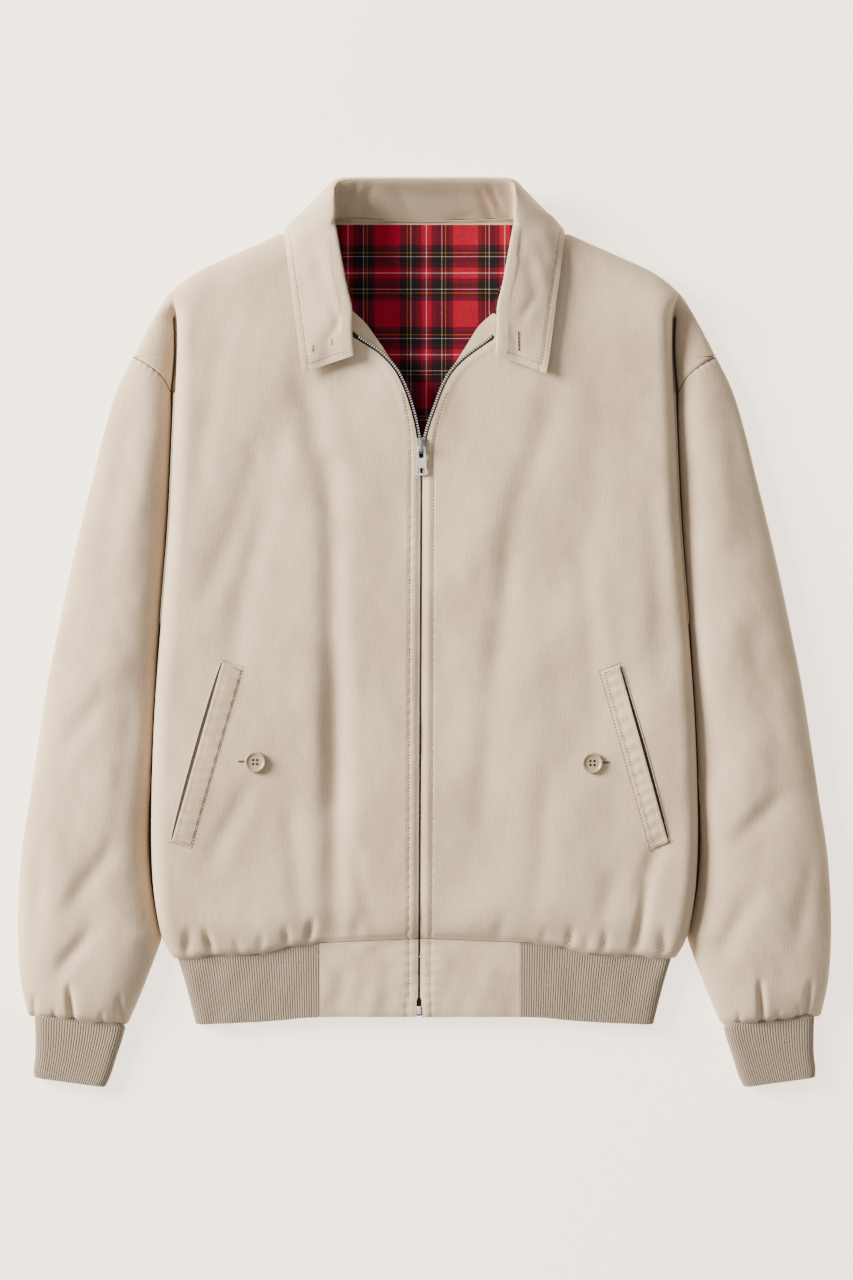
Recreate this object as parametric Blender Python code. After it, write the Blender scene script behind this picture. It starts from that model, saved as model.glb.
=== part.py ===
"""Harrington jacket, laid face up on a flat surface.

Frame: +X is the wearer's left, +Y runs from hem to collar, +Z is up out of the
front.  The origin is on the surface, under the middle of the jacket.  Sizes are
in millimetres and are turned into metres when a mesh is made.  The two halves
are worked out at X >= 0 and the wearer's right half is mirrored, with the few
things that differ from side to side held in tables of their own.
"""

import math

import bmesh
import bpy
import numpy as np
from mathutils import Vector

MM = 0.001
LEFT, RIGHT = 1, -1
SEAM_GAP = 0.3

# ---------------------------------------------------------------- cloth sizes
CLOTH = 1.2            # shell fabric with its share of lining
RIB = 2.4              # knitted rib, folded double
BAND = 2.6             # woven hem band, folded double
COLLAR_CLOTH = 2.0     # top collar and under collar
LINING = 1.0
TAPE = 1.0
WELT = 1.3

BODY_HEIGHT = 27.0     # top of the fronts above the surface
SLEEVE_HEIGHT = 27.0
SHOULDER_HEIGHT = 23.0
SIDE_HEIGHT = 8.5      # widest point of a rolled side above the surface
HEM_HEIGHT = 15.0      # front layer at the hem seam
HEM_END_HEIGHT = 13.5
CUFF_HEIGHT = 15.0
CUFF_SIDE_HEIGHT = 6.0
ROLL_BODY = 26.0       # how far in from the side the body starts to roll over
ROLL_OUTER = 30.0
ROLL_HEM = 34.0
ROLL_CUFF_SEAM = 32.0
ROLL_CUFF = 12.0
UNDER_ROLL = 8.0       # how far the rolled side tucks under
ROLL_POWER = 2.4       # squareness of a rolled side

LENGTH_HALF = 410.0    # half the length, collar fold to cuff end
BACK_HEM_Y = -292.8
HEM_BEND_Y = -200.0     # below this the rows bend to follow the hem seam
BACK_NECK_Y = 364.5
UNDERARM_Y = 20.0      # the armhole is open above this
UNDERARM_BLEND = 26.0
ARMHOLE_TOP_Y = 251.0
ARMHOLE_FRONT_Y = 218.0
SHOULDER_TIP_Y = 309.0

# Back panel and front roll are lifted over the collar's back fall.
COLLAR_LIFT = 2.4
LIFT_START_Y = 322.0
LIFT_END_Y = 343.0

# ------------------------------------------------------------ outline tables
# y, half width of the body's side fold
BODY_EDGE = (
    (309, 230), (294, 225), (256, 224), (189, 227), (103, 231), (15, 238), (-37, 242),
    (-88, 245), (-150, 247), (-195, 247), (-232, 245), (-264, 240), (-280, 235), (-293, 227),
)
# x, y of the jacket's outer line: shoulder, shoulder cap, sleeve down to the cuff seam
OUTER_LINE = (
    (80, 376), (124.6, 364), (150, 353), (175, 342), (207, 327), (230, 309), (241, 294),
    (250, 278), (264, 251), (279, 220), (291, 180), (300, 143), (309, 107), (320, 60),
    (333, -2), (342.5, -51), (351.5, -109), (357.5, -150), (365, -199), (368, -246),
    (368, -283), (366, -311), (363, -329), (359.5, -344),
)
# x, y of the sleeve's inner fold, from the shoulder tip down beside the body
INNER_LINE = (
    (230, 309), (228.5, 294), (228.5, 270), (229.5, 250), (231, 235), (232.5, 218),
    (233.5, 189), (236, 103), (242, 15), (249, -88), (252.5, -150), (253, -195), (249, -240),
    (243, -270), (243.5, -285), (248, -306), (257.6, -331), (269, -354),
)
# x, y of the seam that joins sleeve to shoulder cap, inner end first
ARM_SEAM = ((229.5, 218), (237, 232), (250, 243), (264, 251))
# x, top of the hem, bottom of the hem
HEM_LINE = (
    (0, -275, -346.5), (95, -279, -346.5), (127, -283.5, -349), (153, -289, -351),
    (189, -290, -352.5), (204, -292, -353), (227, -293, -351),
)
# y, half width of the hem rib
RIB_EDGE = ((-292, 224), (-315, 217), (-342, 210), (-354, 207))
# outer x, outer y, inner x, inner y down the cuff
CUFF_LINE = (
    (353.5, -346.0, 271.0, -356.5), (353.0, -362.0, 274.0, -368.0), (353.0, -380.0, 279.0, -383.0),
    (354.5, -394.0, 284.0, -399.0), (354.0, -401.0, 289.0, -410.0),
)
# distance from the middle of the zip, y: each front's open edge
FRONT_EDGE = {
    RIGHT: ((1.0, 150), (4.0, 168), (5.0, 186), (9.5, 203), (16.0, 220), (25.0, 237.6),
            (39.0, 252.4), (56.5, 264), (64.0, 270), (69, 290), (74, 312), (79, 340),
            (81, 356), (81, 368)),
    LEFT: ((1.0, 150), (6.0, 168), (7.6, 186), (14.0, 203), (21.0, 222.6), (29.0, 236.3),
           (40.4, 247.8), (58, 260.5), (66.0, 267), (71, 290), (76, 312), (80, 340),
           (81, 356), (81, 368)),
}
NECK_EDGE_START = 10   # rows of FRONT_EDGE from here on lie under the collar, about x = 0
ZIP_TOP = (-2.7, 140.0)
ZIP_BOTTOM = (-5.0, -343.0)
BAND_END = {LEFT: 86.0, RIGHT: 95.0}

# Folds of the cloth: start x, start y, end x, end y, half width, depth (a ridge is negative)
FRONT_FOLDS = {
    RIGHT: (
        (102, 225, 90, 40, 20, 2.6), (90, 60, 86, -250, 15, 4.0), (128, 140, 178, -20, 18, 2.6),
        (118, -230, 112, -285, 9, 5.0), (128, -225, 138, -285, 8, 4.0), (186, -262, 190, -295, 7, 4.5),
        (209, -258, 218, -295, 8, 4.0), (60, -255, 62, -280, 8, 2.5), (112, 226, 142, 208, 14, 2.0),
    ),
    LEFT: (
        (98, 222, 112, 120, 18, 3.0), (128, 60, 120, -160, 18, 1.8), (142, -250, 130, -288, 8, 5.0),
        (162, -262, 160, -292, 7, 4.0), (190, -222, 187, -292, 8, 4.5), (214, -264, 216, -296, 8, 4.0),
        (70, -258, 66, -280, 8, 2.5), (178, 120, 188, -60, 20, 2.0),
    ),
}
SLEEVE_FOLDS = {
    RIGHT: (
        (350, -318, 352, -348, 8, 5.0), (318, -300, 318, -350, 8, 6.0), (290, -320, 292, -354, 7, 5.0),
        (276, -330, 276, -356, 6, 4.0), (328, -300, 302, -262, 11, 3.0), (284, -232, 318, -260, 14, 3.0),
        (262, 210, 292, 60, 20, 2.0), (270, -60, 282, -170, 18, 2.0),
    ),
    LEFT: (
        (304, -302, 306, -354, 8, 6.0), (330, -312, 332, -350, 7, 5.0), (345, -318, 346, -348, 7, 4.5),
        (284, -326, 284, -356, 6, 4.0), (262, -300, 290, -240, 14, 3.0), (276, 200, 300, 80, 20, 2.2),
        (296, 0, 320, -150, 22, 2.2),
    ),
}

# ------------------------------------------------------------ rows and columns
FRONT_ROWS = (
    -275, -267, -254, -236, -208, -170, -125, -78, -34, -6, 20, 46, 92, 138, 168, 192, 218,
    232, 243, 251, 264, 279, 294, 309, 322, 335, 348,
)
FRONT_FRACTIONS = (0.0, 0.035, 0.14, 0.3, 0.48, 0.66, 0.84, 1.0)
SIDE_STEPS = (4, 2, 4)    # columns over the roll, across the valley, over the shoulder cap
BACK_COLUMNS = 11
SLEEVE_OUTER_Y = (
    251, 238, 220, 192, 158, 116, 74, 40, 12, -40, -92, -144, -192, -236, -270, -296, -316,
    -332, -344,
)
SLEEVE_INNER_Y = (
    218, 206, 190, 166, 136, 100, 64, 34, 8, -42, -92, -144, -192, -236, -270, -298, -320,
    -338, -353,
)

# ---------------------------------------------------------------- trim sizes
WELT_CORNERS = {   # upper outer, upper inner, lower outer, lower inner
    RIGHT: ((181.5, -25), (165, -31), (227, -186), (211, -191)),
    LEFT: ((175, -28), (159, -34), (219, -187), (204, -194)),
}
BUTTON_CENTRE = {RIGHT: (152, -115), LEFT: (151, -116)}
BUTTON_RADIUS = 9.5
BUTTON_THICKNESS = 3.4
BUTTON_HOLE_RADIUS = 1.0
BUTTON_HOLE_SPACING = 3.6
PULL_PIVOT = Vector((-2.9, 167.6, 30.2))
PULL_THICKNESS = 1.6
PULL_LENGTH = 26.0
PULL_TOP_WIDTH = 8.0
PULL_END_WIDTH = 10.4
PULL_BAR = 2.0
PULL_BAR_CLEARANCE = 1.5
PULL_TILT = math.radians(4.5)
SLOT_WIDTH = 4.6
SLOT_LENGTH = 8.6
WINDOW_WIDTH = 6.6
WINDOW_LENGTH = 5.0
SLIDER_WIDTH = 8.6
SLIDER_FOOT_WIDTH = 6.4
SLIDER_PLATE = 1.4
BRIDGE_WIDTH = 3.0
BRIDGE_WALL = 1.2
BOX_WIDTH = 3.6
BOX_LENGTH = 7.0
BOX_RECESS = 1.3       # how far each band steps back beside the retainer box

# inner x, y; outer x, y of each facing strip, from the collar to its lower end
FACING_LINE = {
    RIGHT: ((64.5, 291, 76, 284), (53, 280, 70, 268), (41.5, 264, 58, 252), (30, 246.6, 42, 238),
            (21, 233, 32, 224), (16, 224, 26, 217)),
    LEFT: ((61.7, 289, 76, 282), (49, 277.6, 70, 266), (38.7, 261.5, 56, 250), (27.3, 243.2, 40, 235),
           (21.5, 234, 33, 226), (17, 226, 28, 219)),
}
# inner x, y; outer x, y of the strip of the fronts' lining beside the facing
LINING_LINE = ((50, 271, 66, 260), (54, 282, 72, 272), (60, 293, 80, 284), (66, 307, 86, 300),
               (71, 321, 90, 316))
TAPE_Y = (150, 132, 80, 0, -80, -160, -220, -246, -262, -276, -300, -342)


# ------------------------------------------------------------------- geometry
def read_table(table, key, column):
    """Read a column of a table at a value of its first column, on straight runs."""
    rows = sorted(table)
    return float(np.interp(key, [row[0] for row in rows], [row[column] for row in rows]))


def line_gap(line, x, y):
    """Distance from a point to a line of points, positive on the smaller-x side."""
    best = 1e9
    sign = 1.0
    for (x0, y0), (x1, y1) in zip(line, line[1:]):
        run = ((x1 - x0), (y1 - y0))
        length2 = run[0] ** 2 + run[1] ** 2
        t = min(1.0, max(0.0, ((x - x0) * run[0] + (y - y0) * run[1]) / length2))
        gap = math.hypot(x - x0 - t * run[0], y - y0 - t * run[1])
        if gap < best - 1e-9:
            best = gap
            cross = run[0] * (y - y0) - run[1] * (x - x0)
            sign = -1.0 if cross > 0 else 1.0
    return best * sign


def line_x(line, y):
    """X of a line of points at height y."""
    rows = sorted((point[1], point[0]) for point in line)
    return float(np.interp(y, [row[0] for row in rows], [row[1] for row in rows]))


BODY_LINE = tuple((x, y) for y, x in BODY_EDGE)


def roll(gap, radius):
    """Rise of a rolled side: 0 at the fold, 1 from radius inwards."""
    if gap <= 0:
        return 0.0
    if gap >= radius:
        return 1.0
    return (1.0 - (1.0 - gap / radius) ** ROLL_POWER) ** (1.0 / ROLL_POWER)


def smooth(value, low, high):
    """Smooth step from 0 at low to 1 at high."""
    t = min(1.0, max(0.0, (value - low) / (high - low)))
    return t * t * (3.0 - 2.0 * t)


def fold_depth(folds, x, y):
    """Summed depth of the folds at a point: a soft trough along each one."""
    depth = 0.0
    for x0, y0, x1, y1, half_width, deep in folds:
        run = (x1 - x0, y1 - y0)
        t = ((x - x0) * run[0] + (y - y0) * run[1]) / (run[0] ** 2 + run[1] ** 2)
        inside = min(1.0, max(0.0, t))
        gap = math.hypot(x - x0 - inside * run[0], y - y0 - inside * run[1])
        fade = 1.0 - 0.6 * (2.0 * inside - 1.0) ** 2
        depth += deep * fade * math.exp(-((gap / half_width) ** 2) * 1.6)
    return depth


def zip_x(y):
    """X of the closed zip's middle at y."""
    return float(np.interp(y, [ZIP_BOTTOM[1], ZIP_TOP[1]], [ZIP_BOTTOM[0], ZIP_TOP[0]]))


def front_edge(side, y):
    """Half-side X of a front's open edge or neckline at y."""
    table = FRONT_EDGE[side]
    offsets = [side * zip_x(row[1]) * (0 if i >= NECK_EDGE_START else 1) for i, row in enumerate(table)]
    if y < table[0][1]:
        return table[0][0] + side * zip_x(y)
    return float(np.interp(y, [row[1] for row in table], [row[0] + o for row, o in zip(table, offsets)]))


def collar_lift(y):
    """Lift of the lower layers over the collar's back fall."""
    return COLLAR_LIFT * smooth(y, LIFT_START_Y, LIFT_END_Y)


def hem_top(x):
    """Y of the hem seam on the front."""
    return read_table(HEM_LINE, abs(x), 1)


def hem_bottom(x):
    """Y of the hem's lower edge."""
    return read_table(HEM_LINE, abs(x), 2)


def arm_top(side, x, y):
    """Height of the sleeve's and the shoulder cap's upper face."""
    crest = SHOULDER_HEIGHT + (SLEEVE_HEIGHT - SHOULDER_HEIGHT) * smooth(y, 250, 60)
    cuff_gap = y - float(np.interp(x, [269, 359.5], [-353, -344]))
    seam = (CUFF_HEIGHT + 0.8 - CUFF_SIDE_HEIGHT) / (SLEEVE_HEIGHT - CUFF_SIDE_HEIGHT)
    gather = seam + (1 - seam) * roll(cuff_gap, ROLL_CUFF_SEAM)
    low = CUFF_SIDE_HEIGHT + (SIDE_HEIGHT - CUFF_SIDE_HEIGHT) * smooth(cuff_gap, 0, ROLL_CUFF_SEAM)
    rise = roll(line_gap(INNER_LINE, x, y) * -1.0, ROLL_BODY) * roll(line_gap(OUTER_LINE, x, y), ROLL_OUTER)
    top = low + (crest * gather + low * (1 - gather) - low) * rise
    return top - fold_depth(SLEEVE_FOLDS[side], x, y) * min(1.0, rise) * smooth(top, low, low + 6)


def body_top(side, x, y):
    """Height of a front's upper face on the body."""
    hem_gap = y - hem_top(x)
    seam = (HEM_HEIGHT - SIDE_HEIGHT) / (BODY_HEIGHT - SIDE_HEIGHT)
    hem = seam + (1 - seam) * roll(hem_gap, ROLL_HEM)
    rise = roll(line_gap(BODY_LINE, x, y), ROLL_BODY) if y < SHOULDER_TIP_Y else 1.0
    rise *= roll(line_gap(OUTER_LINE, x, y), ROLL_OUTER)
    top = SIDE_HEIGHT + (BODY_HEIGHT - SIDE_HEIGHT) * rise * hem
    zip_gap = abs(x - side * zip_x(y))
    lip = 1.2 * math.exp(-((zip_gap / 5.0) ** 2)) if y < 150 else 0.0
    return top - fold_depth(FRONT_FOLDS[side], x, y) * rise * smooth(hem_gap, -2, 10) - lip * rise


def front_top(side, x, y):
    """Height of a front's upper face, shoulder cap and valley included."""
    body_x = read_table(BODY_EDGE, y, 1)
    if y >= SHOULDER_TIP_Y or x <= body_x:
        return body_top(side, x, y)
    valley = smooth(y, SHOULDER_TIP_Y, SHOULDER_TIP_Y - 30)
    plain = SIDE_HEIGHT + (SHOULDER_HEIGHT - SIDE_HEIGHT) * roll(line_gap(OUTER_LINE, x, y), ROLL_OUTER)
    return valley * arm_top(side, x, y) + (1 - valley) * plain


def resample(points, count):
    """Spread count points evenly along a run of (x, z) points."""
    points = np.array(points, dtype=float)
    steps = np.hypot(np.diff(points[:, 0]), np.diff(points[:, 1]))
    along = np.concatenate([[0.0], np.cumsum(steps)])
    wanted = np.linspace(0.0, along[-1], count)
    return np.column_stack([np.interp(wanted, along, points[:, i]) for i in range(2)])


def resample_parts(parts):
    """Resample the parts of a run, each into its own count of SIDE_STEPS."""
    runs = [resample(part, steps + 1) for part, steps in zip(parts, SIDE_STEPS)]
    return np.concatenate([runs[0]] + [run[1:] for run in runs[1:]])


def outer_slope(y):
    """How much further a tuck reaches along X than across the outer line, at y."""
    step = 4.0
    run = line_x(OUTER_LINE, y - step) - line_x(OUTER_LINE, y + step)
    return min(3.0, math.hypot(run, 2 * step) / (2 * step))


def tuck(x_edge, reach, base, low):
    """Points of a rolled side below its widest point, down to the surface."""
    points = []
    for step in range(1, 9):
        angle = math.radians(90.0 * step / 8)
        points.append((x_edge - reach * (1 - math.cos(angle) ** (2 / ROLL_POWER)),
                       base + (low - base) * (1 - math.sin(angle) ** (2 / ROLL_POWER))))
    return points


def front_edge_x(y):
    """X of the fold or outer line at which a front turns down."""
    return read_table(BODY_EDGE, y, 1) if y < SHOULDER_TIP_Y else line_x(OUTER_LINE, y)


def front_end_x(y):
    """X of a front's last upper point: armhole seam or outer line."""
    if y <= ARMHOLE_FRONT_Y:
        return read_table(BODY_EDGE, y, 1) + 1.0
    if y <= ARMHOLE_TOP_Y:
        return line_x(ARM_SEAM, y)
    return line_x(OUTER_LINE, y)


def front_side_points(side, y, crest):
    """Points from the crest of a front's roll to its end, as (x, z)."""
    edge = read_table(BODY_EDGE, y, 1)
    if y <= ARMHOLE_FRONT_Y:
        top = [crest + (edge - crest) * math.sin(math.radians(a)) for a in range(0, 91, 10)]
        top = [(x, body_top(side, x, y)) for x in top]
        lip = (edge, SIDE_HEIGHT + 5.0)
        middle = (edge + 0.4, SIDE_HEIGHT + 3.0)
        opened = resample_parts((top[:-1] + [lip], (lip, middle), (middle, (edge + 1.0, SIDE_HEIGHT))))
        under = [top[-1]] + tuck(edge, UNDER_ROLL, 0.0, SIDE_HEIGHT)
        closed = resample_parts((top, under[:3], under[2:]))
        share = smooth(y, UNDERARM_Y - UNDERARM_BLEND, UNDERARM_Y)
        return share * opened + (1 - share) * closed
    end = front_end_x(y)
    past_cap = []
    if y > ARMHOLE_TOP_Y - 0.5:
        past_cap = tuck(end, UNDER_ROLL * outer_slope(y), collar_lift(y), SIDE_HEIGHT)

    def surface(start, stop):
        return [(x, front_top(side, x, y)) for x in np.linspace(start, stop, 16)]

    if y >= SHOULDER_TIP_Y:
        return resample(surface(crest, end) + past_cap, sum(SIDE_STEPS) + 1)
    far_side = min(line_x(INNER_LINE, y) + 0.5, edge + 0.5 * (end - edge))
    return resample_parts((surface(crest, edge), surface(edge, far_side), surface(far_side, end) + past_cap))


def front_grid(side):
    """Upper face of a front, as rows from hem to neck and columns from zip to side."""
    grid = []
    for row_y in FRONT_ROWS:
        hem_share = smooth(row_y, HEM_BEND_Y, FRONT_ROWS[0])
        side_y = row_y + (hem_top(217) - FRONT_ROWS[0]) * hem_share
        start = front_edge(side, row_y)
        edge = front_edge_x(side_y)
        inset = ROLL_BODY + 6.0 * smooth(row_y, 240, 309) + 26.0 * smooth(row_y, 305, 345)
        crest = max(edge - inset, start + 0.4 * (edge - start))

        def bent(x):
            return row_y + (hem_top(min(x, 217)) - FRONT_ROWS[0]) * hem_share

        flat = [start + (crest - start) * fraction for fraction in FRONT_FRACTIONS[:-1]]
        row = [(x, bent(x), front_top(side, x, bent(x))) for x in flat]
        row += [(x, bent(x), z) for x, z in front_side_points(side, side_y, crest)]
        grid.append(row)
    return np.array(grid)


# ---------------------------------------------------------------- mesh making
def grid_normals(grid, closed):
    """Unit normals of a grid of points, pointing to the column-cross-row side."""
    if closed:
        across = np.roll(grid, -1, axis=1) - np.roll(grid, 1, axis=1)
    else:
        across = np.gradient(grid, axis=1)
    along = np.gradient(grid, axis=0)
    normals = np.cross(across, along)
    length = np.linalg.norm(normals, axis=2, keepdims=True)
    return normals / np.maximum(length, 1e-9)


def add_object(name, vertices, faces, colour, roughness=0.85, metallic=0.0):
    """Make an object from millimetre points, faces turned out, with its own material."""
    mesh = bpy.data.meshes.new(name)
    mesh.from_pydata([Vector(v) * MM for v in vertices], [], faces)
    body = bmesh.new()
    body.from_mesh(mesh)
    bmesh.ops.recalc_face_normals(body, faces=body.faces)
    if body.calc_volume(signed=True) < 0:
        bmesh.ops.reverse_faces(body, faces=body.faces)
    body.to_mesh(mesh)
    body.free()
    material = bpy.data.materials.new(name)
    material.use_nodes = True
    shader = material.node_tree.nodes["Principled BSDF"]
    shader.inputs["Base Color"].default_value = (*colour, 1.0)
    shader.inputs["Roughness"].default_value = roughness
    shader.inputs["Metallic"].default_value = metallic
    mesh.materials.append(material)
    piece = bpy.data.objects.new(name, mesh)
    bpy.context.scene.collection.objects.link(piece)
    return piece


def shell(name, grid, thickness, colour, mirror=False, closed=None, turn=1.0, level_end=False):
    """Close a grid of outer points into a wall of even thickness.

    closed holds one flag for each row of cells that joins the last column back to
    the first, so a tube can be open along part of its length.  turn picks the side
    of the grid that faces out.  Points on the surface get a level wall, and with
    level_end so does the whole last column where it is tucked under.
    """
    rows, columns = grid.shape[:2]
    ring = closed is not None
    normals = grid_normals(grid, ring and all(closed)) * turn
    if ring and not all(closed):
        wrapped = grid_normals(grid, True) * turn
        for row in range(rows):
            if closed[min(row, rows - 2)] and closed[max(0, row - 1)]:
                normals[row] = wrapped[row]
    normals[np.abs(grid[:, :, 2]) < 1e-6] = (0.0, 0.0, -1.0)
    if level_end:
        normals[grid[:, -1, 2] < COLLAR_LIFT + 0.1, -1] = (0.0, 0.0, -1.0)
    inner = grid - normals * thickness
    vertices = np.concatenate([grid.reshape(-1, 3), inner.reshape(-1, 3)])
    if mirror:
        vertices = vertices * np.array((-1.0, 1.0, 1.0))
    count = rows * columns
    cells = []
    for r in range(rows - 1):
        for c in range(columns if ring and closed[r] else columns - 1):
            after = (c + 1) % columns
            cells.append((r * columns + c, r * columns + after, (r + 1) * columns + after, (r + 1) * columns + c))
    edges = {}
    for cell in cells:
        for start, end in zip(cell, cell[1:] + cell[:1]):
            if edges.pop((end, start), None) is None:
                edges[(start, end)] = True
    faces = list(cells)
    faces += [tuple(index + count for index in reversed(cell)) for cell in cells]
    faces += [(end, start, start + count, end + count) for start, end in edges]
    return add_object(name, vertices, faces, colour)


STONE = (0.55, 0.48, 0.40)
STONE_RIB = (0.44, 0.38, 0.32)
TARTAN = (0.42, 0.02, 0.04)
DARK_TAPE = (0.02, 0.02, 0.02)
SILVER = (0.72, 0.72, 0.72)
HORN = (0.60, 0.50, 0.40)


def side_name(stem, side):
    """Name of a piece with its side."""
    return f"{stem}_{'left' if side == LEFT else 'right'}"


# -------------------------------------------------------------------- panels
def build_fronts():
    """Make both fronts, each one wall from the zip over the side to the surface."""
    for side in (LEFT, RIGHT):
        grid = front_grid(side)
        grid[0, :, 1] += SEAM_GAP
        shell(side_name("front", side), grid, CLOTH, STONE, mirror=side == RIGHT, level_end=True)


def back_edge_x(y):
    """X of the back panel's edge, just inside the rolled front or at the arm seam."""
    if y <= ARMHOLE_FRONT_Y:
        return read_table(BODY_EDGE, y, 1) - UNDER_ROLL - SEAM_GAP
    if y < ARMHOLE_TOP_Y:
        return line_x(ARM_SEAM, y) - UNDER_ROLL - 1.0 - SEAM_GAP
    return line_x(OUTER_LINE, y) - (UNDER_ROLL + SEAM_GAP) * outer_slope(y)


def back_grid(rows, half_width, rise, columns):
    """A level grid across both halves, its underside at the layer's base."""
    grid = []
    for y in rows:
        width = half_width(y)
        row = []
        for column in range(columns):
            x = width * (2 * column / (columns - 1) - 1)
            row.append((x, y, rise + collar_lift(y)))
        grid.append(row)
    return np.array(grid)


def build_back():
    """Make the back panel, flat on the surface and lifted over the collar's fall."""
    drop = hem_top(217) - FRONT_ROWS[0]
    rows = [y + drop * smooth(y, HEM_BEND_Y, FRONT_ROWS[0]) for y in FRONT_ROWS]
    rows.append(BACK_NECK_Y)
    grid = back_grid(rows, back_edge_x, CLOTH, BACK_COLUMNS)
    grid[0, :, 1] = BACK_HEM_Y + SEAM_GAP
    grid[-1, :, 0] = np.clip(grid[-2, :, 0] * 0.9, -104, 104)
    shoulder = np.abs(grid[-1, :, 0])
    grid[-1, :, 1] = BACK_NECK_Y - 8.0 * np.clip((shoulder - 84.0) / 20.0, 0.0, 1.0)
    shell("back_panel", grid, CLOTH, STONE)


def build_lining():
    """Make the back lining, seen through the neck, on the back panel."""
    rows = (130, 190, 250, 300, 322, 332, 343, 362)

    def half_width(y):
        return float(np.interp(y, [130, 250, 300, 362], [60, 120, 112, 84]))

    grid = back_grid(rows, half_width, CLOTH + SEAM_GAP + LINING, 9)
    shell("lining_back", grid, LINING, TARTAN)


# -------------------------------------------------------------------- sleeves
def seam_point(share):
    """Point of the armhole seam at a share of its run, from its inner end."""
    steps = [math.dist(a, b) for a, b in zip(ARM_SEAM, ARM_SEAM[1:])]
    along = np.concatenate([[0.0], np.cumsum(steps)])
    wanted = share * along[-1]
    return Vector([float(np.interp(wanted, along, [p[i] for p in ARM_SEAM])) for i in range(2)])


def sleeve_ring(side, index):
    """Ring of points round a sleeve, from its inner fold over the top and back below."""
    outer_y = SLEEVE_OUTER_Y[index]
    inner_y = SLEEVE_INNER_Y[index]
    outer = Vector((line_x(OUTER_LINE, outer_y), outer_y))
    inner = Vector((line_x(INNER_LINE, inner_y), inner_y))
    opened = smooth(inner_y, UNDERARM_Y + 4, UNDERARM_Y + 20)
    across = (outer - inner)
    length = across.length
    across /= length
    seam_share = max(0.0, 1 - index / 3.0)
    cuff_gap = min(outer_y + 344, inner_y + 353)
    low = CUFF_SIDE_HEIGHT + (SIDE_HEIGHT - CUFF_SIDE_HEIGHT) * smooth(cuff_gap, 0, ROLL_CUFF_SEAM)

    def at(distance):
        share = min(1.0, max(0.0, distance / length))
        straight = inner + across * distance
        seam = seam_point(share) - seam_point(0.0).lerp(seam_point(1.0), share)
        return straight + seam * seam_share

    valley_x = read_table(BODY_EDGE, inner_y, 1) + 1.0 + SEAM_GAP
    back_x = back_edge_x(min(inner_y, ARMHOLE_FRONT_Y)) + SEAM_GAP
    ring = []
    lower_inner = ((UNDER_ROLL, 0.0), (1.6, low * 0.3), (0.0, low))
    valley = ((0.0, SIDE_HEIGHT), (0.5, SIDE_HEIGHT + 2), (1.2, SIDE_HEIGHT + 4))
    for (free_x, free_z), (open_x, open_z) in zip(lower_inner, valley):
        spot = at(free_x)
        x = (1 - opened) * spot.x + opened * (valley_x + open_x)
        y = (1 - opened) * spot.y + opened * inner_y
        ring.append((x, y, (1 - opened) * free_z + opened * open_z))
    top = [0.04 * ROLL_BODY, 0.2 * ROLL_BODY, 0.55 * ROLL_BODY]
    limit = 0.42 * length
    top = [min(d, limit * (0.25 * (i + 1))) for i, d in enumerate(top)]
    first = max(top[-1] + 1.0, min(ROLL_BODY, 0.46 * length))
    last = length - max(1.0 + 0.3 * length, 0) if length < 80 else length - ROLL_OUTER
    middle = list(np.linspace(first, max(last, first + 1.5), 4))
    end = [length - 0.5 * min(ROLL_OUTER, 0.3 * length), length - 0.18 * min(ROLL_OUTER, 0.3 * length),
           length - 0.04 * min(ROLL_OUTER, 0.3 * length)]
    for distance in top + middle + end:
        spot = at(distance)
        z = arm_top(side, spot.x, spot.y)
        ring.append((spot.x, spot.y, z))
    for distance, z in ((length, low), (length - 1.6, low * 0.3), (length - UNDER_ROLL, 0.0)):
        spot = at(distance)
        ring.append((spot.x, spot.y, z))
    for share in (0.66, 0.33):
        spot = at(length * share)
        ring.append((spot.x, spot.y, 0.0))
    free = at(min(UNDER_ROLL + 6.0, 0.25 * length))
    ring.append(((1 - opened) * free.x + opened * back_x, (1 - opened) * free.y + opened * inner_y, 0.0))
    return ring


def build_sleeves():
    """Make the sleeves: tubes that lie flat, open at the armhole and at the cuff."""
    for side in (LEFT, RIGHT):
        count = len(SLEEVE_OUTER_Y)
        grid = np.array([sleeve_ring(side, i) for i in range(count)])
        grid[0, :, 1] -= SEAM_GAP * 1.5
        grid[-1, :, 1] += SEAM_GAP
        closed = [SLEEVE_INNER_Y[r] < UNDERARM_Y + 10 for r in range(count - 1)]
        shell(side_name("sleeve", side), grid, CLOTH, STONE, mirror=side == RIGHT, closed=closed,
              turn=-1.0)


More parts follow.
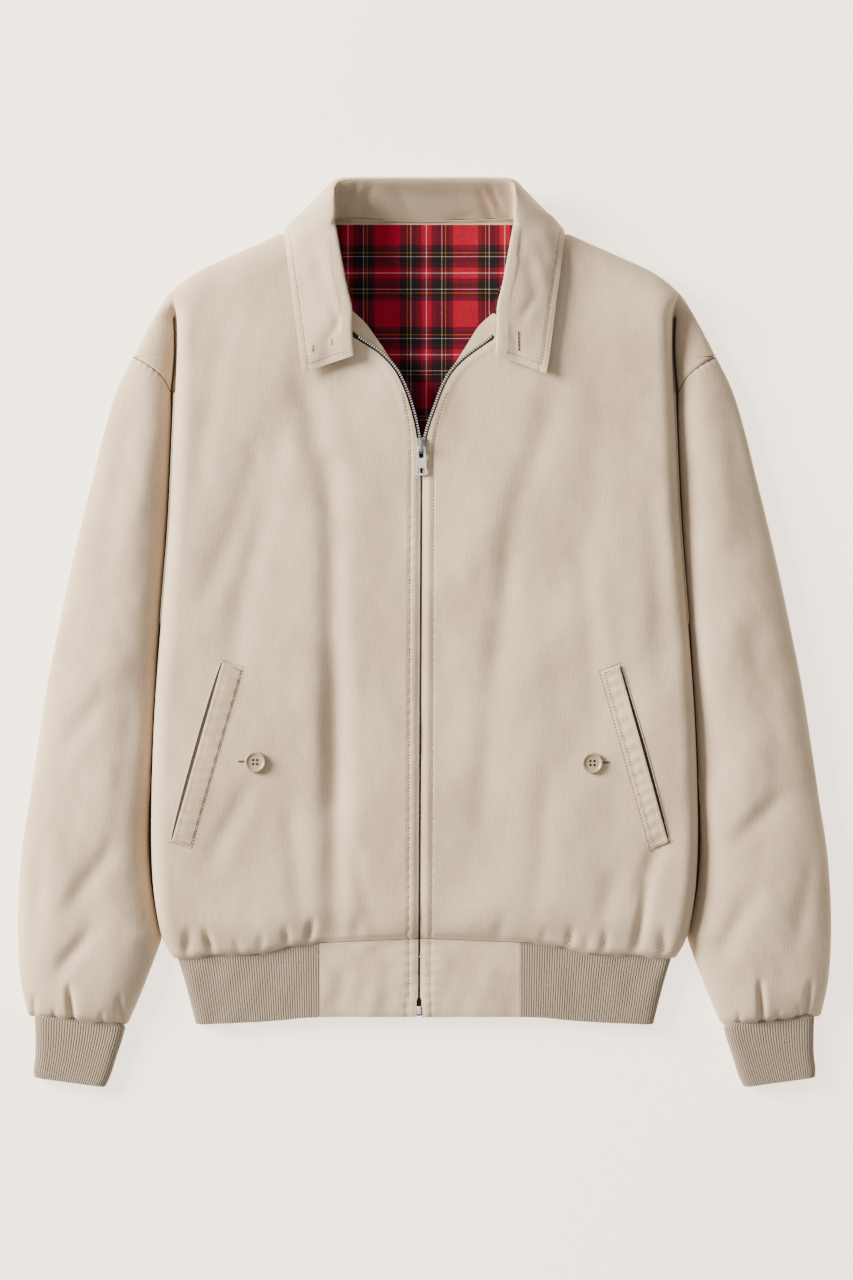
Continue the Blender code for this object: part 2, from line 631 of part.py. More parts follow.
def build_cuffs():
    """Make the ribbed cuffs as flattened tubes, open at both ends."""
    for side in (LEFT, RIGHT):
        grid = []
        for outer_x, outer_y, inner_x, inner_y in CUFF_LINE:
            outer, inner = Vector((outer_x, outer_y)), Vector((inner_x, inner_y))
            length = (outer - inner).length
            across = (outer - inner) / length
            height = CUFF_HEIGHT - 1.5 * smooth(outer_y, -346, -400)
            row = []
            for distance, z in ((6.0, 0.0), (1.2, 1.6), (0.0, CUFF_SIDE_HEIGHT)):
                row.append((*(inner + across * distance), z))
            for gap in (0.8, 3.0, 7.0, ROLL_CUFF):
                z = CUFF_SIDE_HEIGHT + (height - CUFF_SIDE_HEIGHT) * roll(gap, ROLL_CUFF)
                row.append((*(inner + across * gap), z))
            row.append((*(inner + across * length * 0.5), height))
            for gap in (ROLL_CUFF, 7.0, 3.0, 0.8):
                z = CUFF_SIDE_HEIGHT + (height - CUFF_SIDE_HEIGHT) * roll(gap, ROLL_CUFF)
                row.append((*(inner + across * (length - gap)), z))
            for distance, z in ((0.0, CUFF_SIDE_HEIGHT), (1.2, 1.6), (6.0, 0.0)):
                row.append((*(inner + across * (length - distance)), z))
            row.append((*(inner + across * length * 0.5), 0.0))
            grid.append(row)
        grid = np.array(grid)
        grid[0, :, 1] -= SEAM_GAP
        shell(side_name("cuff", side), grid, RIB, STONE_RIB, mirror=side == RIGHT,
              closed=[True] * (len(CUFF_LINE) - 1), turn=-1.0)


# ------------------------------------------------------------------------ hem
def band_height(share):
    """Height of the hem's front layer, from the seam (0) to the lower edge (1)."""
    return HEM_HEIGHT + (HEM_END_HEIGHT - HEM_HEIGHT) * share ** 2


def build_hem():
    """Make the woven bands beside the zip and the rib round the sides and back."""
    shares = (0.0, 0.4, 0.72, 0.8, 1.0)
    for side in (LEFT, RIGHT):
        grid = []
        for share in shares:
            row = []
            for part in (0.0, 0.06, 0.4, 0.7, 1.0):
                bottom = hem_bottom(0)
                y_mid = hem_top(0) + (bottom - hem_top(0)) * share
                inner = side * zip_x(y_mid) + 1.0 + BOX_RECESS * smooth(y_mid, -327, -332)
                x = inner + (BAND_END[side] - inner) * part
                y = hem_top(x) + (hem_bottom(x) - hem_top(x)) * share
                row.append((x, y, band_height(share)))
            grid.append(row)
        grid = np.array(grid)
        grid[0, :, 1] -= SEAM_GAP
        shell(side_name("hem_band", side), grid, BAND, STONE, mirror=side == RIGHT, turn=-1.0)
    grid = []
    for share in (0.0, 0.25, 0.5, 0.75, 1.0):
        halves = {side: rib_half_row(side, share) for side in (LEFT, RIGHT)}
        row = halves[LEFT] + [(0.0, BACK_HEM_Y + (hem_bottom(0) - BACK_HEM_Y) * share, 0.0)]
        row += [(-x, y, z) for x, y, z in reversed(halves[RIGHT])]
        if share == 0.0:
            row = [(x, y - SEAM_GAP, z) for x, y, z in row]
        grid.append(row)
    shell("hem_rib", np.array(grid), RIB, STONE_RIB, turn=-1.0)


def rib_half_row(side, share):
    """Half a row of the rib, from the woven band round the side to the back."""
    top_height = band_height(share)
    start = BAND_END[side] + SEAM_GAP
    side_y = hem_top(217) + (hem_bottom(217) - hem_top(217)) * share
    edge = read_table(RIB_EDGE, side_y, 1)
    low = 0.5 * top_height
    row = []
    for part in (0.0, 0.25, 0.5, 0.75):
        x = start + (edge - 12.0 - start) * part
        row.append((x, hem_top(x) + (hem_bottom(x) - hem_top(x)) * share, top_height))
    for inset, z in ((10.0, top_height), (5.0, top_height * 0.96), (1.4, top_height * 0.8), (0.0, low),
                     (1.4, top_height * 0.14), (7.0, 0.0)):
        x = edge - inset
        row.append((x, hem_top(x) + (hem_bottom(x) - hem_top(x)) * share, z))
    for x in (150.0, 75.0):
        top_y = BACK_HEM_Y
        row.append((x, top_y + (hem_bottom(x) - top_y) * share, 0.0))
    return row


# --------------------------------------------------------------------- collar
# The collar's stations from the front point to the middle of the back: neck seam x, y;
# fold x, y, z; silhouette or middle x, y, z; outer edge x, y.  A height of None is read
# from the panel below it.
COLLAR_STATIONS = (
    (68.5, 258.0, 64.5, 249.5, 33.0, 87.0, 242.0, 32.6, 109.0, 233.5, None),
    (68.5, 268.0, 66.0, 268.0, 34.5, 89.0, 257.0, 33.6, 111.5, 246.0, None),
    (71.5, 290.0, 66.0, 290.0, 36.5, 92.0, 279.0, 34.8, 114.5, 268.0, None),
    (76.0, 313.0, 71.0, 313.0, 38.5, 96.0, 305.0, 36.0, 117.5, 292.0, None),
    (80.5, 336.0, 76.5, 343.0, 40.5, 101.0, 338.0, 37.0, 121.5, 322.0, None),
    (83.0, 352.0, 80.0, 362.0, 42.0, 106.0, 358.0, 37.0, 124.6, 346.0, None),
    (83.5, 360.0, 81.5, 374.0, 43.0, 110.0, 368.0, 34.0, 126.5, 360.0, 21.0),
    (83.0, 366.0, 82.0, 386.0, 43.0, 112.0, 378.0, 27.0, 123.0, 368.5, 9.0),
    (81.0, 368.0, 82.0, 396.0, 43.0, 104.0, 387.5, 18.0, 108.0, 358.0, 0.0),
    (78.0, 369.0, 80.0, 403.0, 42.5, 92.0, 399.0, 18.0, 94.0, 353.0, 0.0),
    (64.0, 368.0, 72.0, 406.5, 42.0, 79.0, 408.5, 18.0, 76.0, 351.0, 0.0),
    (36.0, 366.5, 40.0, 407.5, 41.0, 42.0, 409.5, 18.0, 42.0, 350.0, 0.0),
    (0.0, 366.0, 0.0, 407.5, 40.5, 0.0, 409.5, 18.0, 0.0, 350.0, 0.0),
)
COLLAR_UNDER = 8       # stations from here on pass under the back panel
COLLAR_COLUMNS = 10


def smooth_run(points, count):
    """Spread count points along a smooth curve through a few (x, y, z) points."""
    points = [np.array(p, dtype=float) for p in points]
    padded = [2 * points[0] - points[1]] + points + [2 * points[-1] - points[-2]]
    curve = []
    for before, start, end, after in zip(padded, padded[1:], padded[2:], padded[3:]):
        for t in np.linspace(0.0, 1.0, 16, endpoint=False):
            curve.append(0.5 * (2 * start + (end - before) * t
                                + (2 * before - 5 * start + 4 * end - after) * t ** 2
                                + (3 * start - before - 3 * end + after) * t ** 3))
    curve.append(points[-1])
    curve = np.array(curve)
    steps = np.linalg.norm(np.diff(curve, axis=0), axis=1)
    along = np.concatenate([[0.0], np.cumsum(steps)])
    wanted = np.linspace(0.0, along[-1], count)
    return np.column_stack([np.interp(wanted, along, curve[:, i]) for i in range(3)])


def collar_section(index):
    """One section of the collar, from the neck seam over the fold to the outer edge."""
    neck_x, neck_y, fold_x, fold_y, fold_z, mid_x, mid_y, mid_z, edge_x, edge_y, edge_z = (
        COLLAR_STATIONS[index])
    under = index >= COLLAR_UNDER
    on_front = edge_z is None
    if on_front:
        neck_z = body_top(LEFT, neck_x, neck_y) + 2 * SEAM_GAP
        edge_z = body_top(LEFT, edge_x, edge_y) + COLLAR_CLOTH + 2 * SEAM_GAP
    else:
        lining_top = collar_lift(neck_y) + CLOTH + LINING + 3 * SEAM_GAP
        neck_z = lining_top + 9.0 * smooth(neck_x, 78, 84)
    inner = np.array((neck_x, neck_y, neck_z))
    fold = np.array((fold_x, fold_y, fold_z))
    run = [tuple(inner), tuple(inner + (fold - inner) * 0.55 + np.array((0, 0, -1.0))), tuple(fold),
           (mid_x, mid_y, mid_z)]
    if under:
        run.append((edge_x + (mid_x - edge_x) * 0.7, edge_y + (mid_y - edge_y) * 0.7, 1.6))
    run.append((edge_x, edge_y, edge_z))
    return smooth_run(run, COLLAR_COLUMNS)


def build_collar():
    """Make the collar in one piece: up from the neck seam, over, and down outside."""
    half = [collar_section(i) for i in range(len(COLLAR_STATIONS))]
    other = [section * np.array((-1.0, 1.0, 1.0)) for section in reversed(half[:-1])]
    grid = np.array(half + other)
    grid[:, :, 2] = np.maximum(grid[:, :, 2], 0.0)
    grid[:, :, 1] = np.minimum(grid[:, :, 1], LENGTH_HALF)
    shell("collar", grid, COLLAR_CLOTH, STONE, turn=1.0)


# ---------------------------------------------------------------- inside strips
def build_inside_strips():
    """Make the facings and the strips of front lining that show in the open neck."""
    under_tape = CLOTH + TAPE + 6 * SEAM_GAP
    for side in (LEFT, RIGHT):
        layers = (("facing", FACING_LINE[side], under_tape, 1.2, STONE),
                  ("lining_front", LINING_LINE, under_tape + LINING + 2.4 + 2 * SEAM_GAP, 0.0, TARTAN))
        for stem, line, depth, sag, colour in layers:
            grid = []
            for inner_x, inner_y, outer_x, outer_y in line:
                row = []
                for share in (0.0, 0.35, 1.0):
                    x = inner_x + (outer_x - inner_x) * share
                    y = inner_y + (outer_y - inner_y) * share
                    droop = sag * (1 - share) ** 2
                    row.append((x, y, body_top(side, max(x, front_edge(side, y)), y) - depth - droop))
                grid.append(row)
            shell(side_name(stem, side), np.array(grid), LINING, colour, mirror=side == RIGHT, turn=-1.0)


def tape_run(side):
    """Middle line of the front's edge that a tape follows, from the neck to the hem."""
    run = [Vector((x + side * zip_x(y), y)) for x, y in reversed(FRONT_EDGE[side][:9]) if y > 150]
    run += [Vector((side * zip_x(y) + 1.0, y)) for y in TAPE_Y]
    return run


def build_tapes():
    """Make the zip tapes, under the edges of the fronts and of the hem bands."""
    for side in (LEFT, RIGHT):
        run = tape_run(side)
        grid = []
        for index, spot in enumerate(run):
            before, after = run[max(0, index - 1)], run[min(len(run) - 1, index + 1)]
            along = (after - before).normalized()
            outward = Vector((-along.y, along.x))
            clear = spot.x - side * zip_x(spot.y)
            inner = min(3.4, clear - 0.3)
            share = (hem_top(0) - spot.y) / (hem_top(0) - hem_bottom(0))
            hem = smooth(spot.y, -250, -268)
            upper = body_top(side, spot.x + 1.0, max(spot.y, -270)) - CLOTH
            lower = band_height(max(0.0, share)) - BAND
            top = upper * (1 - hem) + lower * hem - SEAM_GAP - 0.4 * (1 - hem)
            row = []
            for offset in (-inner, 2.0, 8.0):
                place = spot + outward * offset
                row.append((place.x, place.y, top - (0.5 if offset > 2 and hem < 0.5 else 0.0)))
            grid.append(row)
        shell(side_name("zip_tape", side), np.array(grid), TAPE, DARK_TAPE, mirror=side == RIGHT, turn=-1.0)


# ------------------------------------------------------------------ zip parts
def prism(name, outline, low, high, colour, metallic=1.0):
    """Make an upright prism from an outline of (x, y) points."""
    count = len(outline)
    vertices = [(x, y, low) for x, y in outline] + [(x, y, high) for x, y in outline]
    faces = [tuple(range(count)), tuple(range(count, 2 * count))]
    faces += [(i, (i + 1) % count, count + (i + 1) % count, count + i) for i in range(count)]
    return add_object(name, vertices, faces, colour, roughness=0.3, metallic=metallic)


def rounded(x_half_top, x_half_end, y_top, y_end, radius, steps=4):
    """Outline of a tapered plate with round corners, about x = 0."""
    corners = ((x_half_top, y_top, 0), (-x_half_top, y_top, 90), (-x_half_end, y_end, 180),
               (x_half_end, y_end, 270))
    outline = []
    for x, y, start in corners:
        centre = (x - math.copysign(radius, x), y + (-radius if start < 180 else radius))
        for step in range(steps + 1):
            angle = math.radians(start + 90.0 * step / steps)
            outline.append((centre[0] + radius * math.cos(angle), centre[1] + radius * math.sin(angle)))
    return outline


def combine(target, tool, operation):
    """Cut or join another solid into a piece, and hide the tool."""
    modifier = target.modifiers.new(tool.name, "BOOLEAN")
    modifier.operation = operation
    modifier.object = tool
    tool.hide_render = True
    tool.display_type = "WIRE"


def build_pull():
    """Make the pull tab, lying on the fronts, hung from its bar under the bridge."""
    top = PULL_BAR / 2
    half = PULL_THICKNESS / 2
    plate = prism("zip_pull", rounded(PULL_TOP_WIDTH / 2, PULL_END_WIDTH / 2, top, top - PULL_LENGTH, 1.4),
                  -half, half, SILVER)
    slot = prism("zip_pull_slot", rounded(SLOT_WIDTH / 2, SLOT_WIDTH / 2, -top, -top - SLOT_LENGTH, 1.2),
                 -2 * half, 2 * half, SILVER)
    end = top - PULL_LENGTH
    window = prism("zip_pull_window", rounded(WINDOW_WIDTH / 2, WINDOW_WIDTH / 2, end + 1.6 + WINDOW_LENGTH,
                                              end + 1.6, 0.5), -2 * half, 2 * half, SILVER)
    for piece in (plate, slot, window):
        piece.location = PULL_PIVOT * MM
        piece.rotation_euler = (PULL_TILT, 0.0, 0.0)
    combine(plate, slot, "DIFFERENCE")
    combine(plate, window, "DIFFERENCE")


def build_slider():
    """Make the slider: its top plate with the bridge that the pull hangs from."""
    x, y, z = PULL_PIVOT
    plate_top = z - PULL_BAR_CLEARANCE
    outline = rounded(SLIDER_WIDTH / 2, SLIDER_FOOT_WIDTH / 2, 9.0, -5.4, 1.6)
    plate = prism("zip_slider", outline, plate_top - SLIDER_PLATE, plate_top, SILVER)
    inner = PULL_BAR_CLEARANCE + 0.1
    rise = z + inner
    profile = [(-4.6, plate_top - 0.5), (-4.6, rise + 0.2), (-3.6, rise + BRIDGE_WALL),
               (6.0, rise + BRIDGE_WALL), (7.2, rise), (7.2, plate_top - 0.5), (5.8, plate_top - 0.5),
               (5.8, rise - 0.3), (5.3, rise), (-2.9, rise), (-3.3, rise - 0.4), (-3.3, plate_top - 0.5)]
    count = len(profile)
    half = BRIDGE_WIDTH / 2
    vertices = [(-half, py, pz) for py, pz in profile] + [(half, py, pz) for py, pz in profile]
    faces = [tuple(range(count)), tuple(range(count, 2 * count))]
    faces += [(i, (i + 1) % count, count + (i + 1) % count, count + i) for i in range(count)]
    bridge = add_object("zip_slider_bridge", vertices, faces, SILVER, 0.3, 1.0)
    for piece in (plate, bridge):
        piece.location = Vector((x, y, 0.0)) * MM
    combine(plate, bridge, "UNION")


def build_box():
    """Make the retainer box at the zip's lower end, between the hem bands."""
    y_end = HEM_LINE[0][2] + 3.0
    outline = rounded(BOX_WIDTH / 2, BOX_WIDTH / 2, BOX_LENGTH, 0.0, 0.5, 2)
    low = band_height(0.9) - BAND + SEAM_GAP
    box = prism("zip_box", outline, low, band_height(0.9) + 0.3, SILVER)
    box.location = Vector((zip_x(y_end), y_end, 0.0)) * MM


# ------------------------------------------------------------ welts and buttons
def build_welts():
    """Make the pocket welts from the fronts' own surface, moved out."""
    for side in (LEFT, RIGHT):
        corners = [np.array(corner, dtype=float) for corner in WELT_CORNERS[side]]
        grid = []
        for along in np.linspace(0.0, 1.0, 8):
            outer = corners[0] + (corners[2] - corners[0]) * along
            inner = corners[1] + (corners[3] - corners[1]) * along
            row = []
            for across in (0.0, 0.5, 1.0):
                x, y = inner + (outer - inner) * across
                row.append((x, y, body_top(side, x, y) + 1.5 * SEAM_GAP + WELT))
            grid.append(row)
        shell(side_name("pocket_welt", side), np.array(grid), WELT, STONE, mirror=side == RIGHT, turn=-1.0)


def build_buttons():
    """Make the four-hole pocket buttons, turned with a raised rim."""
    steps = 28
    profile = ((0.0, 0.0), (8.6, 0.0), (9.5, 0.9), (9.5, 2.5), (8.8, 3.4), (7.6, 3.4), (6.4, 2.3),
               (0.0, 2.1))
    for side in (LEFT, RIGHT):
        x, y = BUTTON_CENTRE[side]
        base = body_top(side, x, y) + 2 * SEAM_GAP
        rings = [[(r * math.cos(2 * math.pi * k / steps), r * math.sin(2 * math.pi * k / steps), z)
                  for k in range(steps)] for r, z in profile[1:-1]]
        vertices = [(0.0, 0.0, profile[0][1])] + [spot for ring in rings for spot in ring]
        vertices.append((0.0, 0.0, profile[-1][1]))
        last = len(vertices) - 1
        faces = [(0, 1 + (k + 1) % steps, 1 + k) for k in range(steps)]
        for r in range(len(rings) - 1):
            a, b = 1 + r * steps, 1 + (r + 1) * steps
            faces += [(a + k, a + (k + 1) % steps, b + (k + 1) % steps, b + k) for k in range(steps)]
        a = 1 + (len(rings) - 1) * steps
        faces += [(a + k, a + (k + 1) % steps, last) for k in range(steps)]
        place = Vector((side * x, y, base)) * MM
        button = add_object(side_name("button", side), vertices, faces, HORN, 0.4)
        button.location = place
        for hole in range(4):
            angle = math.radians(45 + 90 * hole)
            centre = BUTTON_HOLE_SPACING / math.sqrt(2)
            outline = [(centre * math.cos(angle) + BUTTON_HOLE_RADIUS * math.cos(2 * math.pi * k / 10),
                        centre * math.sin(angle) + BUTTON_HOLE_RADIUS * math.sin(2 * math.pi * k / 10))
                       for k in range(10)]
            drill = prism(f"{button.name}_hole_{hole}", outline, -1.0, BUTTON_THICKNESS + 1.0, HORN, 0.0)
            drill.location = place
            combine(button, drill, "DIFFERENCE")


def clear_scene():
    """Remove the objects that a new scene holds."""
    for piece in list(bpy.data.objects):
        bpy.data.objects.remove(piece, do_unlink=True)


def main():
    """Build every piece of the jacket."""
    clear_scene()
    build_fronts()
    build_back()
    build_lining()
    build_sleeves()
    build_cuffs()
    build_hem()
    build_collar()
    build_inside_strips()
    build_tapes()
    build_pull()
    build_slider()
    build_box()
    build_welts()
    build_buttons()


main()
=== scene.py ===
"""Looks of a harrington jacket that lies face up on a pale floor.

+X is the wearer's left, +Y runs from hem to collar and +Z is up.  Shapes are worked
out in millimetres on the wearer's left half and mirrored, and become metres when a
mesh is made.  Each sub-assembly is a class whose fields are its sizes.
"""
from __future__ import annotations

import logging
import math
from dataclasses import dataclass, field
from enum import Enum
from typing import Callable, Iterable, Sequence

import bmesh
import bpy
import numpy as np
from bpy.types import ID, Material, Modifier, Node, NodeSocket, NodeTree, Object
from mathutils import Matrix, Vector

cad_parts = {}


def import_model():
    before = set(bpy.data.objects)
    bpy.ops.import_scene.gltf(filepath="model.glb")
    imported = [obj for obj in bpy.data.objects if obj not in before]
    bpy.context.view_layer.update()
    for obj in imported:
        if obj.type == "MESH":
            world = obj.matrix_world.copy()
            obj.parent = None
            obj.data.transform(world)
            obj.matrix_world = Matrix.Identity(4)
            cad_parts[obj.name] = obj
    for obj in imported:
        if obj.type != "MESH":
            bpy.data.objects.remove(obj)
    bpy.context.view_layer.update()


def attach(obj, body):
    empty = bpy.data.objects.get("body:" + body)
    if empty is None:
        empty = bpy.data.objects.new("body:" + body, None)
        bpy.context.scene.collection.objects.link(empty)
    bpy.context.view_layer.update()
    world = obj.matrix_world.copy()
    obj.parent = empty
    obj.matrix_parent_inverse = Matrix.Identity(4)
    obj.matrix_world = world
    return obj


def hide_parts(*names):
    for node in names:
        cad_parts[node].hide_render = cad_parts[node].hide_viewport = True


LOG = logging.getLogger("jacket")
MM = 0.001
STITCH_WAVE = 9.3      # length of the puckers beside a stitch line
WALE = 2.2             # width of one wale of the rib knit
WALE_COLUMNS = 6       # mesh columns across one wale
BODY = "jacket"
PULL_BODY = "pull_tab"
SEED = 11

Points = np.ndarray
Row = tuple[float, ...]


class Side(Enum):
    """The wearer's side of a piece; the value is the sign of its X."""

    LEFT = 1
    RIGHT = -1

    def node(self, stem: str) -> str:
        """Name of the CAD node of this side."""
        return f"{stem}_{self.name.lower()}"


# --------------------------------------------------------------------------- maths
def roll(gap: Points, radius: float, power: float = 2.4) -> Points:
    """Rise of a rolled side.

    Args:
        gap: Distance in from the fold.
        radius: Distance over which the side rolls.
        power: Squareness of the roll.

    Returns:
        0 at the fold, 1 from radius inwards.
    """
    inside = np.clip(np.asarray(gap, dtype=float) / radius, 0.0, 1.0)
    return (1.0 - (1.0 - inside) ** power) ** (1.0 / power)


def smooth(value: Points | float, low: float, high: float) -> Points | float:
    """Smooth step from 0 at low to 1 at high."""
    t = np.clip((np.asarray(value, dtype=float) - low) / (high - low), 0.0, 1.0)
    return t * t * (3.0 - 2.0 * t)


def bell(gap: Points, width: float) -> Points:
    """Bell curve of a distance: 1 at 0, falling off over width."""
    return np.exp(-((np.asarray(gap, dtype=float) / width) ** 2))


def curve_through(points: Sequence[Sequence[float]], steps: int = 8) -> Points:
    """Dense smooth curve through a few points.

    Args:
        points: Points of any dimension.
        steps: Samples between each two points.

    Returns:
        The samples, first and last point included.
    """
    known = [np.asarray(p, dtype=float) for p in points]
    padded = [2 * known[0] - known[1], *known, 2 * known[-1] - known[-2]]
    out = []
    for before, start, end, after in zip(padded, padded[1:], padded[2:], padded[3:]):
        for t in np.linspace(0.0, 1.0, steps, endpoint=False):
            out.append(0.5 * (2 * start + (end - before) * t
                              + (2 * before - 5 * start + 4 * end - after) * t ** 2
                              + (3 * start - before - 3 * end + after) * t ** 3))
    out.append(known[-1])
    return np.array(out)


def along_run(points: Points) -> Points:
    """Distance along a run of points."""
    steps = np.linalg.norm(np.diff(points, axis=0), axis=1)
    return np.concatenate([[0.0], np.cumsum(steps)])


def spread(points: Points, count: int) -> Points:
    """Resample a run of points into count evenly spaced ones."""
    points = np.asarray(points, dtype=float)
    along = along_run(points)
    wanted = np.linspace(0.0, along[-1], count)
    return np.column_stack([np.interp(wanted, along, points[:, i]) for i in range(points.shape[1])])


def shares(rows: int, columns: int) -> tuple[Points, Points]:
    """Shares from 0 to 1 down the rows and across the columns of a grid."""
    down, across = np.meshgrid(np.linspace(0.0, 1.0, rows), np.linspace(0.0, 1.0, columns), indexing="ij")
    return down, across


class Line:
    """A smooth line in plan that gives distances and places along itself."""

    def __init__(self, points: Sequence[Sequence[float]], steps: int = 6) -> None:
        """Draw the line through its points."""
        self.points = curve_through(points, steps)
        order = np.argsort(self.points[:, 1])
        self.by_y = self.points[order]

    def x(self, y: Points | float) -> Points:
        """X of the line at a height y."""
        return np.interp(y, self.by_y[:, 1], self.by_y[:, 0])

    def gap(self, x: Points, y: Points) -> Points:
        """Distance from the line, positive on its smaller-x side.

        Args:
            x: X of the places asked about.
            y: Y of the places asked about.

        Returns:
            Signed distances in the shape of x.
        """
        x, y = np.broadcast_arrays(np.asarray(x, dtype=float), np.asarray(y, dtype=float))
        places = np.stack([x.ravel(), y.ravel()], axis=1)
        start, run = self.points[:-1], np.diff(self.points, axis=0)
        length2 = np.maximum((run ** 2).sum(axis=1), 1e-9)
        out = np.empty(len(places))
        for first in range(0, len(places), 4096):
            rel = places[first:first + 4096, None, :] - start[None]
            t = np.clip((rel * run).sum(axis=2) / length2, 0.0, 1.0)
            d2 = ((rel - t[..., None] * run) ** 2).sum(axis=2)
            nearest = d2.argmin(axis=1)
            rows = np.arange(len(nearest))
            near = rel[rows, nearest]
            cross = run[nearest, 0] * near[:, 1] - run[nearest, 1] * near[:, 0]
            out[first:first + 4096] = np.sqrt(d2[rows, nearest]) * np.where(cross > 0, -1.0, 1.0)
        return out.reshape(x.shape)


# --------------------------------------------------------------------------- folds
@dataclass(frozen=True)
class Fold:
    """A soft trough in the cloth, or a ridge where depth is negative."""

    x0: float
    y0: float
    x1: float
    y1: float
    half_width: float
    depth: float
    bow: float = 0.0

    def depth_at(self, x: Points, y: Points) -> Points:
        """Depth of this fold at each place."""
        run = np.array((self.x1 - self.x0, self.y1 - self.y0))
        length = float(np.hypot(*run))
        t = ((x - self.x0) * run[0] + (y - self.y0) * run[1]) / length ** 2
        inside = np.clip(t, 0.0, 1.0)
        across = ((x - self.x0) * run[1] - (y - self.y0) * run[0]) / length
        across = across - self.bow * 4.0 * inside * (1.0 - inside)
        beyond = (t - inside) * length
        fade = 1.0 - 0.6 * (2.0 * inside - 1.0) ** 2
        gap2 = (across ** 2 + beyond ** 2) / self.half_width ** 2
        return self.depth * fade * np.exp(-1.6 * gap2)


def folds(*rows: Row) -> tuple[Fold, ...]:
    """Folds from rows of their fields, in order."""
    return tuple(Fold(*row) for row in rows)


def folds_depth(several: Iterable[Fold], x: Points, y: Points) -> Points:
    """Summed depth of several folds."""
    total = np.zeros(np.broadcast(x, y).shape)
    for fold in several:
        total = total + fold.depth_at(x, y)
    return total


def cloth_waver(x: Points, y: Points, seed: int, waves: Sequence[tuple[float, float]]) -> Points:
    """Uneven waver of relaxed cloth.

    Args:
        x: X of the places, in millimetres.
        y: Y of the places, in millimetres.
        seed: Seed of the wave directions and phases.
        waves: Wavelength and height of each set of waves.

    Returns:
        Height of the waver at each place.
    """
    rng = np.random.default_rng(abs(seed))
    total = np.zeros(np.broadcast(x, y).shape)
    for length, height in waves:
        for _ in range(5):
            angle = rng.normal(0.0, 0.55)
            phase = rng.uniform(0, 2 * math.pi)
            drift = rng.uniform(0, 2 * math.pi)
            u = (x * math.cos(angle) + y * math.sin(angle)) / length
            v = (y * math.cos(angle) - x * math.sin(angle)) / (3.1 * length)
            wave = np.sin(2 * math.pi * u + phase) * np.sin(2 * math.pi * v + drift)
            total = total + height / 2.3 * wave
    return total


